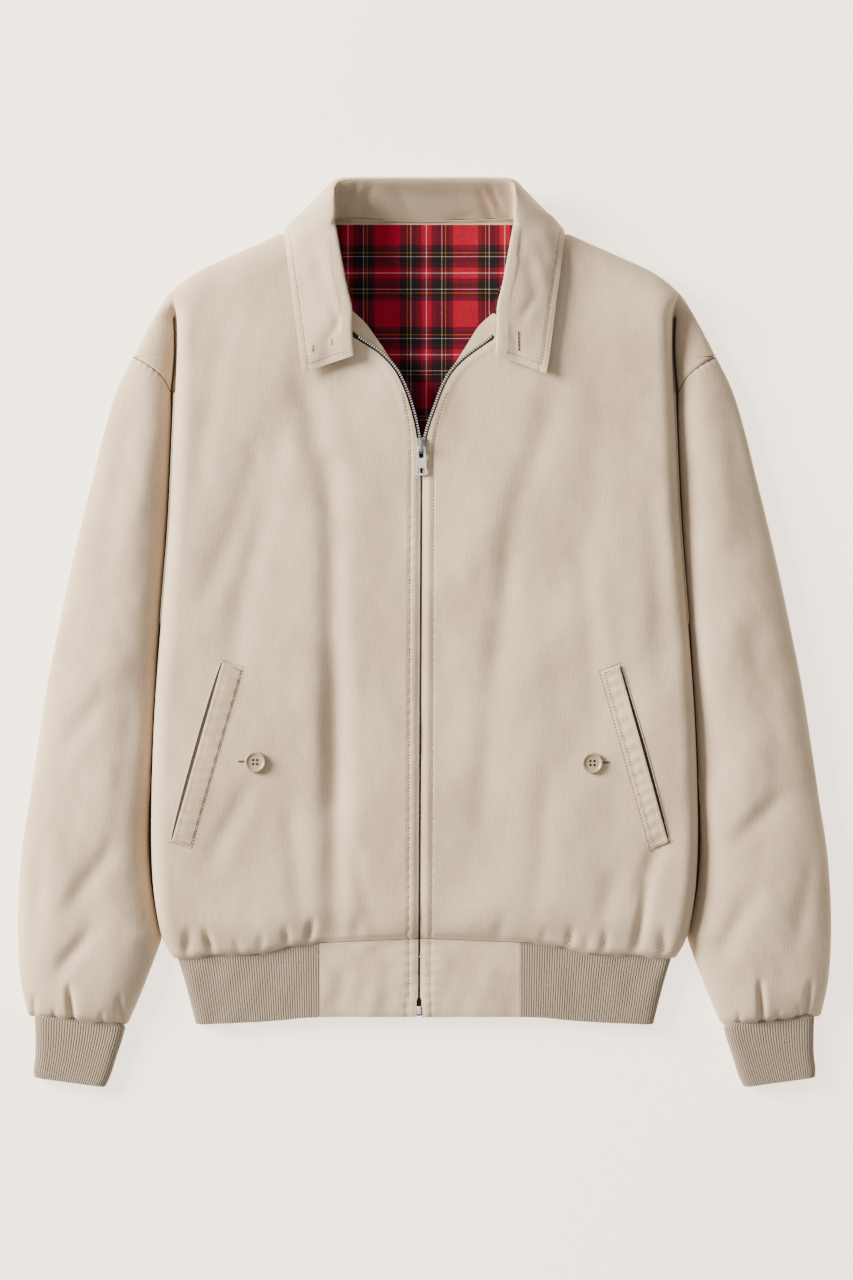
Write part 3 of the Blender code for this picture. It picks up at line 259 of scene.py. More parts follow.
# ---------------------------------------------------------------------- the pattern
@dataclass(frozen=True)
class Pattern:
    """Outline, layer heights and folds that all pieces of the jacket share."""

    cloth: float = 1.2
    rib: float = 2.4
    band: float = 2.6
    collar_cloth: float = 2.0
    lining: float = 1.0
    tape: float = 1.0
    welt: float = 1.3
    seam_gap: float = 0.3
    body_height: float = 27.0
    sleeve_height: float = 27.0
    shoulder_height: float = 23.0
    side_height: float = 8.5
    hem_height: float = 15.0
    hem_end_height: float = 13.5
    cuff_height: float = 15.0
    cuff_side_height: float = 6.0
    roll_body: float = 17.0
    roll_outer: float = 30.0
    dome_inner: float = 46.0
    dome_outer: float = 56.0
    tucked_height: float = 3.0
    hem_power: float = 1.6
    roll_hem: float = 34.0
    roll_cuff_seam: float = 32.0
    roll_cuff: float = 12.0
    under_roll: float = 8.0
    underarm_y: float = 20.0
    underarm_blend: float = 26.0
    armhole_front_y: float = 218.0
    armhole_top_y: float = 251.0
    tip_y: float = 309.0
    collar_lift: float = 2.4
    lift_start_y: float = 322.0
    lift_end_y: float = 343.0
    hem_side_x: float = 217.0
    edge_clear: float = 1.0
    back_hem_y: float = -292.8
    cuff_inner: tuple[float, float] = (269, -353)
    cuff_outer: tuple[float, float] = (359.5, -344)
    zip_top: tuple[float, float] = (-2.7, 140.0)
    zip_bottom: tuple[float, float] = (-5.0, -343.0)
    body_edge: tuple[Row, ...] = (
        (230, 309), (225, 294), (224, 256), (227, 189), (231, 103), (238, 15), (242, -37),
        (245, -88), (247, -150), (247, -195), (245, -232), (240, -264), (235, -280), (227, -293),
    )
    outer_edge: tuple[Row, ...] = (
        (80, 376), (124.6, 364), (150, 353), (175, 342), (207, 327), (230, 309), (241, 294),
        (250, 278), (264, 251), (279, 220), (291, 180), (300, 143), (309, 107), (320, 60),
        (333, -2), (342.5, -51), (351.5, -109), (357.5, -150), (365, -199), (368, -246),
        (368, -283), (366, -311), (363, -329), (359.5, -344),
    )
    inner_edge: tuple[Row, ...] = (
        (230, 309), (227.0, 294), (225.6, 270), (225.8, 250), (227.0, 235), (228.6, 218),
        (228.6, 189), (232.4, 103), (238.6, 15), (241.9, -37), (244.8, -88), (246.8, -150), (246.8, -195),
        (244.4, -232), (240.6, -258), (238.0, -273), (242.4, -288), (248.6, -305), (257.6, -328), (269, -354),
    )
    arm_seam: tuple[Row, ...] = ((229.5, 218), (237, 232), (250, 243), (264, 251))
    hem_top_line: tuple[Row, ...] = (
        (0, -275), (95, -279), (127, -283.5), (153, -289), (189, -290), (204, -292), (227, -293),
    )
    hem_bottom_line: tuple[Row, ...] = (
        (0, -346.5), (95, -346.5), (127, -349), (153, -351), (189, -352.5), (204, -353), (227, -351),
    )
    rib_edge: tuple[Row, ...] = ((-292, 224), (-315, 217), (-342, 210), (-354, 207))
    body: Line = field(init=False)
    outer: Line = field(init=False)
    inner: Line = field(init=False)
    seam: Line = field(init=False)

    def __post_init__(self) -> None:
        """Draw the smooth lines."""
        object.__setattr__(self, "body", Line(self.body_edge))
        object.__setattr__(self, "outer", Line(self.outer_edge))
        object.__setattr__(self, "inner", Line(self.inner_edge))
        object.__setattr__(self, "seam", Line(self.arm_seam))

    def zip_x(self, y: Points | float) -> Points:
        """X of the closed zip's middle at y."""
        return np.interp(y, [self.zip_bottom[1], self.zip_top[1]], [self.zip_bottom[0], self.zip_top[0]])

    def hem_top(self, x: Points | float) -> Points:
        """Y of the hem seam on the front."""
        line = curve_through(self.hem_top_line, 4)
        return np.interp(np.abs(x), line[:, 0], line[:, 1])

    def hem_bottom(self, x: Points | float) -> Points:
        """Y of the hem's lower edge."""
        line = curve_through(self.hem_bottom_line, 4)
        return np.interp(np.abs(x), line[:, 0], line[:, 1])

    def lift(self, y: Points | float) -> Points:
        """Lift of the lower layers over the collar's back fall."""
        return self.collar_lift * smooth(y, self.lift_start_y, self.lift_end_y)

    def low_side(self, cuff_gap: Points | float) -> Points:
        """Height of a sleeve's widest place, lower towards the cuff."""
        share = smooth(cuff_gap, 0, self.roll_cuff_seam)
        return self.cuff_side_height + (self.side_height - self.cuff_side_height) * share

    def outer_slope(self, y: float) -> float:
        """How much further a tuck reaches along X than across the outer line."""
        run = float(self.outer.x(y - 4.0) - self.outer.x(y + 4.0))
        return min(3.0, math.hypot(run, 8.0) / 8.0)

    def hem_y(self, x: Points | float, share: Points | float) -> Points:
        """Y on the hem's front, from the seam (share 0) to the lower edge (share 1)."""
        return self.hem_top(x) + (self.hem_bottom(x) - self.hem_top(x)) * share

    def closed_edge_x(self, side: Side, y: Points | float) -> Points:
        """Half-side X of a front's edge where the zip is closed."""
        return side.value * self.zip_x(y) + self.edge_clear

    def body_top(self, rise: Points) -> Points:
        """Height of the body's upper face at a share of its full rise."""
        return self.side_height + (self.body_height - self.side_height) * rise

    def outer_rise(self, x: Points, y: Points) -> Points:
        """Share of the full rise, in from the outer line."""
        return roll(self.outer.gap(x, y), self.roll_outer)

    def hem_gather(self, gap: Points) -> Points:
        """Share of the height that the gathers leave at a distance from the hem seam."""
        seam = (self.hem_height - self.side_height) / (self.body_height - self.side_height)
        return seam + (1 - seam) * roll(gap, self.roll_hem, self.hem_power)

    def band_height(self, share: Points | float) -> Points:
        """Height of the hem's front layer, from the seam (0) to the lower edge (1)."""
        return self.hem_height + (self.hem_end_height - self.hem_height) * np.asarray(share) ** 2


PATTERN = Pattern()

FRONT_EDGE: dict[Side, tuple[Row, ...]] = {
    Side.RIGHT: (
        (1.0, -360), (1.0, 60), (1.0, 100), (1.0, 130), (1.4, 150), (3.2, 168), (6.0, 186), (10.2, 203),
        (16.0, 220), (25.0, 237.6), (39.0, 252.4), (56.5, 264), (64.0, 270), (69, 290), (74, 312), (79, 340),
        (81, 349), (90, 364),
    ),
    Side.LEFT: (
        (1.0, -360), (1.0, 60), (1.0, 100), (1.0, 130), (1.4, 150), (3.4, 168), (7.6, 186), (13.6, 203),
        (21.0, 222.6), (29.0, 236.3), (40.4, 247.8), (58, 260.5), (66.0, 267), (71, 290), (76, 312),
        (80, 340), (81, 349), (90, 364),
    ),
}
NECK_EDGE_Y = 300.0    # the front edges above this are measured from the middle
BAND_END: dict[Side, float] = {Side.LEFT: 86.0, Side.RIGHT: 95.0}

FRONT_FOLDS: dict[Side, tuple[Fold, ...]] = {
    Side.RIGHT: folds(
        (110, 238, 86, 120, 16, 4.2), (83, 150, 80, -150, 15, 5.4), (81, -20, 80, -285, 14, 5.6),
        (140, 196, 200, 30, 16, 3.2, 4), (118, 215, 174, -25, 15, 2.8, -4),
        (186, 250, 206, 130, 14, 1.8), (160, -140, 194, -206, 12, 2.6), (66, -190, 46, -268, 10, 1.8),
        (122, -150, 112, -250, 13, 2.2), (125, -266, 124, -290, 4, 3.6), (101, -258, 107, -286, 4, 4.2),
        (146, -272, 150, -290, 4, 2.2), (197, -268, 190, -294, 4, 4.6), (170, -276, 166, -292, 4, 2.2),
        (212, -268, 217, -298, 5, 3.8), (60, -258, 62, -280, 8, 2.0),
    ),
    Side.LEFT: folds(
        (120, 236, 84, 120, 18, 3.2, -4), (80, 116, 70, -10, 15, 3.0), (66, 0, 50, -170, 15, 2.2),
        (142, 74, 156, -86, 16, 2.8), (206, 120, 214, -46, 14, 2.2), (160, 226, 150, 90, 18, 1.8),
        (212, -186, 194, -236, 10, 3.2), (112, -120, 100, -250, 14, 2.0),
        (172, -210, 160, -262, 12, 2.0), (132, -266, 130, -290, 4, 3.6), (163, -268, 162, -292, 4, 3.2),
        (201, -228, 189, -294, 6, 4.6), (214, -268, 217, -298, 5, 3.8), (70, -258, 66, -280, 8, 1.6),
        (108, -268, 106, -288, 4, 2.0), (146, -274, 147, -290, 4, 2.0),
    ),
}
SLEEVE_FOLDS: dict[Side, tuple[Fold, ...]] = {
    Side.RIGHT: folds(
        (352, -328, 354, -350, 4, 4.4), (320, -318, 317, -356, 4, 5.6), (334, -340, 335, -354, 3, 2.6),
        (291, -342, 292, -360, 3, 2.6), (275, -328, 273, -362, 4, 5.0), (330, -304, 300, -268, 10, 3.8),
        (280, -192, 324, -250, 12, 3.4), (290, -56, 330, -110, 14, 2.6), (262, 214, 290, 60, 17, 2.6),
        (262, -40, 272, -170, 16, 2.6), (312, 60, 330, -40, 15, 1.8), (346, -190, 352, -290, 11, 2.4),
    ),
    Side.LEFT: folds(
        (302, -314, 305, -358, 4, 5.6), (337, -338, 336, -356, 3, 3.4), (348, -316, 343, -352, 4, 5.2),
        (284, -342, 284, -360, 3, 2.6), (319, -342, 318, -356, 3, 2.0), (262, -296, 294, -236, 13, 3.6),
        (322, -146, 276, -190, 12, 3.2), (274, 206, 300, 80, 17, 2.6), (294, 4, 322, -120, 18, 2.6),
        (350, -200, 336, -280, 11, 2.6), (262, -80, 268, -160, 14, 2.2),
    ),
}


@dataclass
class Surface:
    """Upper faces of the fronts and the sleeves, as heights over a place in plan."""

    pattern: Pattern = PATTERN
    stitch_inset: float = 9.5
    hem_puff: float = 1.7
    edges: dict[Side, Line] = field(init=False)

    def __post_init__(self) -> None:
        """Draw each front's open edge."""
        self.edges = {}
        for side, table in FRONT_EDGE.items():
            places = [(x + (side.value * float(self.pattern.zip_x(y)) if y < NECK_EDGE_Y else 0.0), y)
                      for x, y in table]
            self.edges[side] = Line(places)

    def edge_x(self, side: Side, y: Points | float) -> Points:
        """Half-side X of a front's open edge at y."""
        return np.where(np.asarray(y) < 100.0, self.pattern.closed_edge_x(side, y), self.edges[side].x(y))

    def arm(self, side: Side, x: Points, y: Points) -> Points:
        """Height of the sleeve's and the shoulder cap's upper face."""
        p = self.pattern
        crest = p.shoulder_height + (p.sleeve_height - p.shoulder_height) * smooth(y, 250, 60)
        cuff_gap = y - np.interp(x, *zip(p.cuff_inner, p.cuff_outer))
        seam = (p.cuff_height + 0.8 - p.cuff_side_height) / (p.sleeve_height - p.cuff_side_height)
        gather = seam + (1 - seam) * roll(cuff_gap, p.roll_cuff_seam)
        low = p.low_side(cuff_gap)
        inward = -p.inner.gap(x, y) - 0.6 - 3.2 * bell(y + 195, 62.0)
        low = low - self.tuck_drop(low, y) * bell(inward, 16.0)
        rise = roll(inward, p.dome_inner, 1.9) * roll(p.outer.gap(x, y), p.dome_outer, 2.0)
        top = low + (crest - low) * gather * rise
        depth = folds_depth(SLEEVE_FOLDS[side], x, y) - self.sleeve_waver(side, x, y)
        off_seam = np.abs(p.seam.gap(x, y))
        pucker = 0.25 * np.sin(0.9 * x + 0.5 * y) * bell(off_seam, 4.0)
        groove = (0.9 * bell(off_seam, 1.5) - pucker) * (x > 231)
        return top - depth * np.minimum(1.0, rise) * smooth(top, low, low + 6) - groove * smooth(top, 9, 13)

    def armhole_run(self, side: Side) -> Points:
        """Path of the painted shade line in the groove where the sleeve is set in."""
        x, y = spread(curve_through(self.pattern.arm_seam, 8), 60)[2:-1].T
        return self.laid(side, x, y, 0.1, self.arm)

    def side_run(self, side: Side) -> Points:
        """Path of the painted shade cord down in the gap between body and sleeve."""
        y = np.linspace(292.0, -262.0, 260)
        x = self.pattern.inner.x(y) + 1.1 + 1.2 * bell(y + 190, 70.0)
        return self.laid(side, x, y, 0.1, self.arm)

    def laid(self, side: Side, x: Points, y: Points, lift: float,
             face: Callable[[Side, Points, Points], Points] | None = None) -> Points:
        """Path that lies on an upper face.

        Args:
            side: Side of the jacket.
            x: Half-side X of the path.
            y: Y of the path.
            lift: How far the path lies above the face.
            face: Height of the face; the front's on the body where it is left out.

        Returns:
            The path's points, in real X.
        """
        return np.column_stack([side.value * x, y, (face or self.body)(side, x, y) + lift])

    def tuck_drop(self, low: Points, y: Points) -> Points:
        """How much lower a free sleeve's inner side lies, tucked in beside the body."""
        free = smooth(y, 306, 280) * smooth(y, -306, -276)
        return (low - self.pattern.tucked_height) * free

    def sleeve_waver(self, side: Side, x: Points, y: Points) -> Points:
        """Small uneven waver of a sleeve's cloth."""
        return cloth_waver(x, y, SEED + 5 * side.value, ((90, 1.4), (40, 0.4), (18, 0.12)))

    def body(self, side: Side, x: Points, y: Points) -> Points:
        """Height of a front's upper face on the body."""
        p = self.pattern
        hem_gap = y - p.hem_top(x)
        side_roll = 1.0 - self.valley(y) * (1.0 - roll(p.body.gap(x, y), p.roll_body))
        rise = side_roll * p.outer_rise(x, y)
        top = p.body_top(rise * p.hem_gather(hem_gap))
        depth = folds_depth(FRONT_FOLDS[side], x, y) * rise * smooth(hem_gap, -2, 10)
        waver = cloth_waver(x, y, SEED + side.value, ((130, 2.0), (56, 0.6), (24, 0.14)))
        top = top + self.hem_puff * smooth(np.abs(x), 88, 108) * bell(hem_gap, 9.0)
        return top - depth + (waver * smooth(hem_gap, 0, 20) + self.placket(side, x, y)) * rise

    def valley(self, y: Points) -> Points:
        """Share of the valley between body and arm: 0 at its tip, 1 a little below."""
        return smooth(y, self.pattern.tip_y, self.pattern.tip_y - 26.0)

    def placket_inset(self, y: Points) -> Points:
        """Distance of the placket's stitch line from the open edge, closer up the open neck."""
        return self.stitch_inset - 6.3 * smooth(y, 128, 222)

    def placket_lean(self, side: Side, y: Points) -> Points:
        """How much longer a level step is than one across the open edge."""
        return np.hypot(1.0, (self.edge_x(side, y + 8.0) - self.edge_x(side, y - 8.0)) / 16.0)

    def placket(self, side: Side, x: Points, y: Points) -> Points:
        """Relief of the stitched placket: lip, stitch groove and puckers."""
        gap = (x - self.edge_x(side, y)) / self.placket_lean(side, y)
        off = gap - self.placket_inset(y)
        shown = 1.0 - smooth(y, 200, 222)
        wave = np.sin(2 * math.pi * (y + 0.7 * gap) / STITCH_WAVE + 1.3 * np.sin(y / 31.0))
        pucker = 0.36 * wave * bell(off, 5.0) * (1.0 - 0.8 * smooth(y, 96, 132))
        lip = -1.2 * bell(gap, 4.5) * (1.0 - smooth(y, 140, 170)) + 0.5 * bell(gap - 4.5, 3.0)
        return (pucker - 0.6 * bell(off, 1.3)) * shown + lip

    def placket_run(self, side: Side) -> Points:
        """Path of the placket's stitch line."""
        y = np.linspace(-268.0, 216.0, 400)
        x = self.edge_x(side, y) + self.placket_inset(y) * self.placket_lean(side, y)
        return self.laid(side, x, y, 0.4)

    def front(self, side: Side, x: Points, y: Points) -> Points:
        """Height of a front's upper face, shoulder cap and valley included."""
        p = self.pattern
        x, y = np.broadcast_arrays(np.asarray(x, dtype=float), np.asarray(y, dtype=float))
        on_body = self.body(side, x, y)
        cap = (y < p.tip_y) & (x > p.body.x(y))
        if not cap.any():
            return on_body
        valley = self.valley(y)
        plain = p.body_top(p.outer_rise(x, y))
        return np.where(cap, valley * self.arm(side, x, y) + (1 - valley) * plain, on_body)


SURFACE = Surface()


# ------------------------------------------------------------------------ mesh making
@dataclass
class Cloth:
    """A wall of cloth made from a grid of points on its outer face."""

    name: str
    grid: Points
    thickness: float
    turn: int = 1
    mirror: bool = False
    closed: Sequence[bool] | None = None

    def faces(self) -> list[tuple[int, ...]]:
        """Quads between the grid's points, wound to face out."""
        rows, columns = self.grid.shape[:2]
        flip = self.turn * (-1 if self.mirror else 1) < 0
        quads = []
        for r in range(rows - 1):
            joined = self.closed is not None and self.closed[r]
            for c in range(columns if joined else columns - 1):
                after = (c + 1) % columns
                here, below = r * columns, (r + 1) * columns
                quad = (here + c, here + after, below + after, below + c)
                quads.append(quad[::-1] if flip else quad)
        return quads

    def build(self, material: Material, slot: str, *nodes: str) -> Object:
        """Make the solid wall, mapped by its place in plan, and fix it to the jacket.

        Args:
            material: Finish of the piece.
            slot: Material slot of the record; not used.
            nodes: CAD nodes that it replaces.

        Returns:
            The finished piece, at the origin.
        """
        points = self.grid.reshape(-1, 3).copy()
        if self.mirror:
            points[:, 0] *= -1
        piece = mesh_object(self.name, points, self.faces(), material)
        layer = piece.data.uv_layers.new(name="UVMap")
        loops = np.empty(len(piece.data.loops), dtype=np.int32)
        piece.data.loops.foreach_get("vertex_index", loops)
        layer.data.foreach_set("uv", (points[loops, :2] * MM).astype(np.float32).ravel())
        add_wall(piece, self.thickness).use_quality_normals = True
        return fit(bake(piece), nodes=nodes)


def add_wall(piece: Object, thickness: float) -> Modifier:
    """Thicken a piece inwards from its outer face."""
    wall = piece.modifiers.new("Wall", "SOLIDIFY")
    wall.thickness = thickness * MM
    wall.offset = -1.0
    return wall


def place_object(name: str, data: ID) -> Object:
    """Make an object from its data and put it in the scene."""
    piece = bpy.data.objects.new(name, data)
    bpy.context.scene.collection.objects.link(piece)
    return piece


def mesh_object(name: str, points: Points, faces: Sequence[Sequence[int]], material: Material | None,
                edges: Sequence[tuple[int, int]] = ()) -> Object:
    """Make an object from millimetre points."""
    mesh = bpy.data.meshes.new(name)
    mesh.from_pydata([tuple(p) for p in np.asarray(points) * MM], edges, faces)
    if material:
        mesh.materials.append(material)
    return place_object(name, mesh)


def bake(piece: Object, sharp: float = 55.0) -> Object:
    """Turn a piece's modifiers into its plain mesh.

    Args:
        piece: Object whose modifiers are applied.
        sharp: Angle in degrees past which an edge is shaded sharp.

    Returns:
        The same object, with no modifiers.
    """
    bpy.context.view_layer.update()
    graph = bpy.context.evaluated_depsgraph_get()
    mesh = bpy.data.meshes.new_from_object(piece.evaluated_get(graph), depsgraph=graph)
    old = piece.data
    piece.modifiers.clear()
    piece.data = mesh
    mesh.name = piece.name
    if old.users == 0:
        bpy.data.meshes.remove(old)
    mesh.shade_smooth()
    mesh.set_sharp_from_angle(angle=math.radians(sharp))
    return piece


def fit(piece: Object, body: str = BODY, nodes: Sequence[str] = ()) -> Object:
    """Fix a piece to its body and hide the CAD nodes that it replaces.

    Args:
        piece: The finished piece.
        body: Body that the piece moves with.
        nodes: CAD nodes that it replaces.

    Returns:
        The piece.
    """
    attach(piece, body)
    if nodes:
        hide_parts(*nodes)
    LOG.info("%s: %d faces", piece.name, len(piece.data.polygons))
    return piece


# ------------------------------------------------------------------------- materials
def linear(colour: str) -> tuple[float, float, float, float]:
    """Turn an sRGB hex colour into linear red, green, blue and alpha."""
    values = [int(colour[i:i + 2], 16) / 255.0 for i in (1, 3, 5)]
    return (*[v / 12.92 if v <= 0.04045 else ((v + 0.055) / 1.055) ** 2.4 for v in values], 1.0)


def add_node(tree: NodeTree, kind: str, settings: dict | None = None,
             links: dict | None = None) -> Node:
    """Add a node with its settings and what feeds its inputs.

    Args:
        tree: Tree that the node joins.
        kind: The node's type.
        settings: Properties, or values of inputs, by name or index.
        links: Output sockets, by the name or index of the input they feed.

    Returns:
        The node.
    """
    node = tree.nodes.new(kind)
    for key, value in (settings or {}).items():
        if isinstance(key, int) or key in node.inputs:
            node.inputs[key].default_value = value
        else:
            setattr(node, key, value)
    for key, socket in (links or {}).items():
        tree.links.new(socket, node.inputs[key])
    return node


def new_material(name: str, values: dict[str, float]) -> tuple[
        Material, NodeTree, Node]:
    """Start a material: itself, its tree and its shader, with some of the shader's values set."""
    material = bpy.data.materials.new(name)
    material.use_nodes = True
    shader = material.node_tree.nodes["Principled BSDF"]
    for key, value in values.items():
        shader.inputs[key].default_value = value
    return material, material.node_tree, shader


def dress(tree: NodeTree, shader: Node, colour: NodeSocket,
          height: NodeSocket, strength: float, depth: float) -> None:
    """Give a shader its colour and its fine relief.

    Args:
        tree: Tree of the material.
        shader: Its shader.
        colour: Socket of the colour.
        height: Socket of the relief.
        strength: Strength of the relief.
        depth: Depth of the relief, in metres.
    """
    tree.links.new(colour, shader.inputs["Base Color"])
    bump = add_node(tree, "ShaderNodeBump", {"Strength": strength, "Distance": depth}, {"Height": height})
    tree.links.new(bump.outputs["Normal"], shader.inputs["Normal"])


def object_mm(tree: NodeTree, scale: Sequence[float] = (1, 1, 1)) -> NodeSocket:
    """Object coordinates in millimetres, stretched by a scale."""
    place = add_node(tree, "ShaderNodeTexCoord")
    mapping = add_node(tree, "ShaderNodeMapping", {"Scale": [1000.0 * s for s in scale]},
                       {"Vector": place.outputs["Object"]})
    return mapping.outputs["Vector"]


def uv_mm(tree: NodeTree) -> Node:
    """The cloth's own map in millimetres, as a separated vector node."""
    place = add_node(tree, "ShaderNodeUVMap", {"uv_map": "UVMap"})
    mapping = add_node(tree, "ShaderNodeMapping", {"Scale": (1000.0, 1000.0, 1000.0)},
                       {"Vector": place.outputs["UV"]})
    return add_node(tree, "ShaderNodeSeparateXYZ", links={"Vector": mapping.outputs["Vector"]})


@dataclass(frozen=True)
class PoplinFinish:
    """Washed cotton poplin, plain woven: matt, faintly mottled, with slub along the warp."""

    name: str = "washed_cotton_poplin"
    colour: str = "#BAA68E"
    shade: str = "#A28F78"
    slub_mm: float = 2.2
    grain_mm: float = 1.1

    def build(self) -> Material:
        """Make the material."""
        material, tree, shader = new_material(self.name, {
            "Roughness": 0.88, "Sheen Weight": 0.12, "Sheen Roughness": 0.5, "Specular IOR Level": 0.25})
        slub = add_node(tree, "ShaderNodeTexNoise", {"Scale": 1.0, "Detail": 3.0, "Roughness": 0.6},
                        {"Vector": object_mm(tree, [k / self.slub_mm for k in (1, 0.16, 1)])})
        grain = add_node(tree, "ShaderNodeTexNoise", {"Scale": 1.0, "Detail": 2.0},
                         {"Vector": object_mm(tree, (1 / self.grain_mm,) * 3)})
        cloud = add_node(tree, "ShaderNodeTexNoise", {"Scale": 1.0, "Detail": 2.0},
                         {"Vector": object_mm(tree, (1 / 60, 1 / 95, 1 / 60))})
        mix = add_node(tree, "ShaderNodeMath", {"operation": "MULTIPLY_ADD", 1: 0.45},
                       {0: slub.outputs["Fac"], 2: cloud.outputs["Fac"]})
        mix = add_node(tree, "ShaderNodeMath", {"operation": "MULTIPLY_ADD", 1: 0.35},
                       {0: grain.outputs["Fac"], 2: mix.outputs[0]})
        ramp = add_node(tree, "ShaderNodeMapRange", {"From Min": 0.62, "From Max": 1.18, "To Min": 0.0,
                                                     "To Max": 1.0}, {"Value": mix.outputs[0]})
        tint = add_node(tree, "ShaderNodeMix", {"data_type": "RGBA", 6: linear(self.shade),
                                                7: linear(self.colour)}, {0: ramp.outputs["Result"]})
        height = add_node(tree, "ShaderNodeMath", {"operation": "MULTIPLY_ADD", 1: 0.6},
                          {0: grain.outputs["Fac"], 2: slub.outputs["Fac"]})
        dress(tree, shader, tint.outputs[2], height.outputs[0], 0.34, 0.0006)
        return material


@dataclass(frozen=True)
class RibFinish:
    """Cotton rib knit: matt wales, with painted shade in the furrows between them and a random fuzz of tone.
    """

    name: str = "cotton_rib_knit"
    colour: str = "#857868"
    # Darker colour: painted shade in the furrows, and partly random tone from the fuzz.
    shade: str = "#6B6052"

    def build(self) -> Material:
        """Make the material; the painted shade in the furrows comes from the mesh's own wale attribute, mixed
        with a random fuzz.
        """
        material, tree, shader = new_material(self.name, {
            "Roughness": 0.95, "Sheen Weight": 0.15, "Specular IOR Level": 0.15})
        wale = add_node(tree, "ShaderNodeAttribute", {"attribute_name": "wale"})
        fuzz = add_node(tree, "ShaderNodeTexNoise", {"Scale": 1.0, "Detail": 3.0},
                        {"Vector": object_mm(tree, (0.8, 0.45, 0.8))})
        mix = add_node(tree, "ShaderNodeMath", {"operation": "MULTIPLY_ADD", 1: 0.5},
                       {0: fuzz.outputs["Fac"], 2: wale.outputs["Fac"]})
        level = add_node(tree, "ShaderNodeMapRange", {"From Min": 0.15, "From Max": 1.2},
                         {"Value": mix.outputs[0]})
        tint = add_node(tree, "ShaderNodeMix", {"data_type": "RGBA", 6: linear(self.shade),
                                                7: linear(self.colour)}, {0: level.outputs["Result"]})
        dress(tree, shader, tint.outputs[2], fuzz.outputs["Fac"], 0.3, 0.0005)
        return material


@dataclass(frozen=True)
class Stripe:
    """One stripe of the tartan's sett: where it ends and its colour."""

    end: float
    colour: str


RED, MAROON, BLACK, GREEN, WHITE, YELLOW = "#860821", "#2C0A15", "#070706", "#081110", "#C9B0B2", "#8E6A20"


@dataclass(frozen=True)
class TartanFinish:
    """Brushed cotton twill tartan; the sett mirrors about its white centre line."""

    name: str = "brushed_twill_tartan"
    repeat_x: float = 71.0
    repeat_y: float = 74.0
    centre_x: float = 1.7
    centre_y: float = 253.5
    twill_mm: float = 1.9
    sett: tuple[Stripe, ...] = (
        Stripe(0.45, WHITE), Stripe(4.5, RED), Stripe(9.0, MAROON), Stripe(13.6, GREEN), Stripe(14.4, WHITE),
        Stripe(16.9, BLACK), Stripe(17.7, YELLOW), Stripe(20.5, GREEN), Stripe(24.0, MAROON),
        Stripe(35.5, RED),
    )

    def stripes(self, tree: NodeTree, place: NodeSocket, centre: float,
                repeat: float) -> NodeSocket:
        """Colour of one set of threads across the sett."""
        moved = add_node(tree, "ShaderNodeMath", {"operation": "SUBTRACT", 1: centre}, {0: place})
        folded = add_node(tree, "ShaderNodeMath", {"operation": "PINGPONG", 1: repeat / 2},
                          {0: moved.outputs[0]})
        share = add_node(tree, "ShaderNodeMath", {"operation": "DIVIDE", 1: repeat / 2},
                         {0: folded.outputs[0]})
        ramp = add_node(tree, "ShaderNodeValToRGB", links={"Fac": share.outputs[0]})
        ramp.color_ramp.interpolation = "CONSTANT"
        start = 0.0
        for index, stripe in enumerate(self.sett):
            stops = ramp.color_ramp.elements
            stop = stops[index] if index < 2 else stops.new(start)
            stop.position = start
            stop.color = linear(stripe.colour)
            start = min(1.0, stripe.end / self.sett[-1].end)
        return ramp.outputs["Color"]

    def build(self) -> Material:
        """Make the material: warp and weft colours crossed by a twill."""
        material, tree, shader = new_material(self.name, {
            "Roughness": 0.95, "Sheen Weight": 0.08, "Specular IOR Level": 0.1})
        place = uv_mm(tree)
        warp = self.stripes(tree, place.outputs["X"], self.centre_x, self.repeat_x)
        weft = self.stripes(tree, place.outputs["Y"], self.centre_y, self.repeat_y)
        diagonal = add_node(tree, "ShaderNodeMath", {"operation": "ADD"},
                            {0: place.outputs["X"], 1: place.outputs["Y"]})
        wave = add_node(tree, "ShaderNodeMath", {"operation": "MULTIPLY", 1: 2 * math.pi / self.twill_mm},
                        {0: diagonal.outputs[0]})
        wave = add_node(tree, "ShaderNodeMath", {"operation": "SINE"}, {0: wave.outputs[0]})
        over = add_node(tree, "ShaderNodeMapRange", {"From Min": -0.35, "From Max": 0.35, "To Min": 0.12,
                                                     "To Max": 0.88}, {"Value": wave.outputs[0]})
        crossed = add_node(tree, "ShaderNodeMix", {"data_type": "RGBA"},
                           {0: over.outputs["Result"], 6: warp, 7: weft})
        sunk = add_node(tree, "ShaderNodeMix", {"data_type": "RGBA", "blend_type": "MULTIPLY", 0: 1.0},
                        {6: warp, 7: weft})
        sunk = add_node(tree, "ShaderNodeGamma", {"Gamma": 0.5}, {"Color": sunk.outputs[2]})
        tint = add_node(tree, "ShaderNodeMix", {"data_type": "RGBA", 0: 0.32},
                        {6: sunk.outputs["Color"], 7: crossed.outputs[2]})
        fuzz = add_node(tree, "ShaderNodeTexNoise", {"Scale": 1.0, "Detail": 3.0},
                        {"Vector": object_mm(tree, (0.5, 0.5, 0.5))})
        lift = add_node(tree, "ShaderNodeMapRange", {"From Min": 0.25, "From Max": 0.75, "To Min": 0.82,
                                                     "To Max": 1.12}, {"Value": fuzz.outputs["Fac"]})
        final = add_node(tree, "ShaderNodeVectorMath", {"operation": "SCALE"},
                         {0: tint.outputs[2], "Scale": lift.outputs["Result"]})
        dress(tree, shader, final.outputs[0], wave.outputs[0], 0.25, 0.0004)
        return material


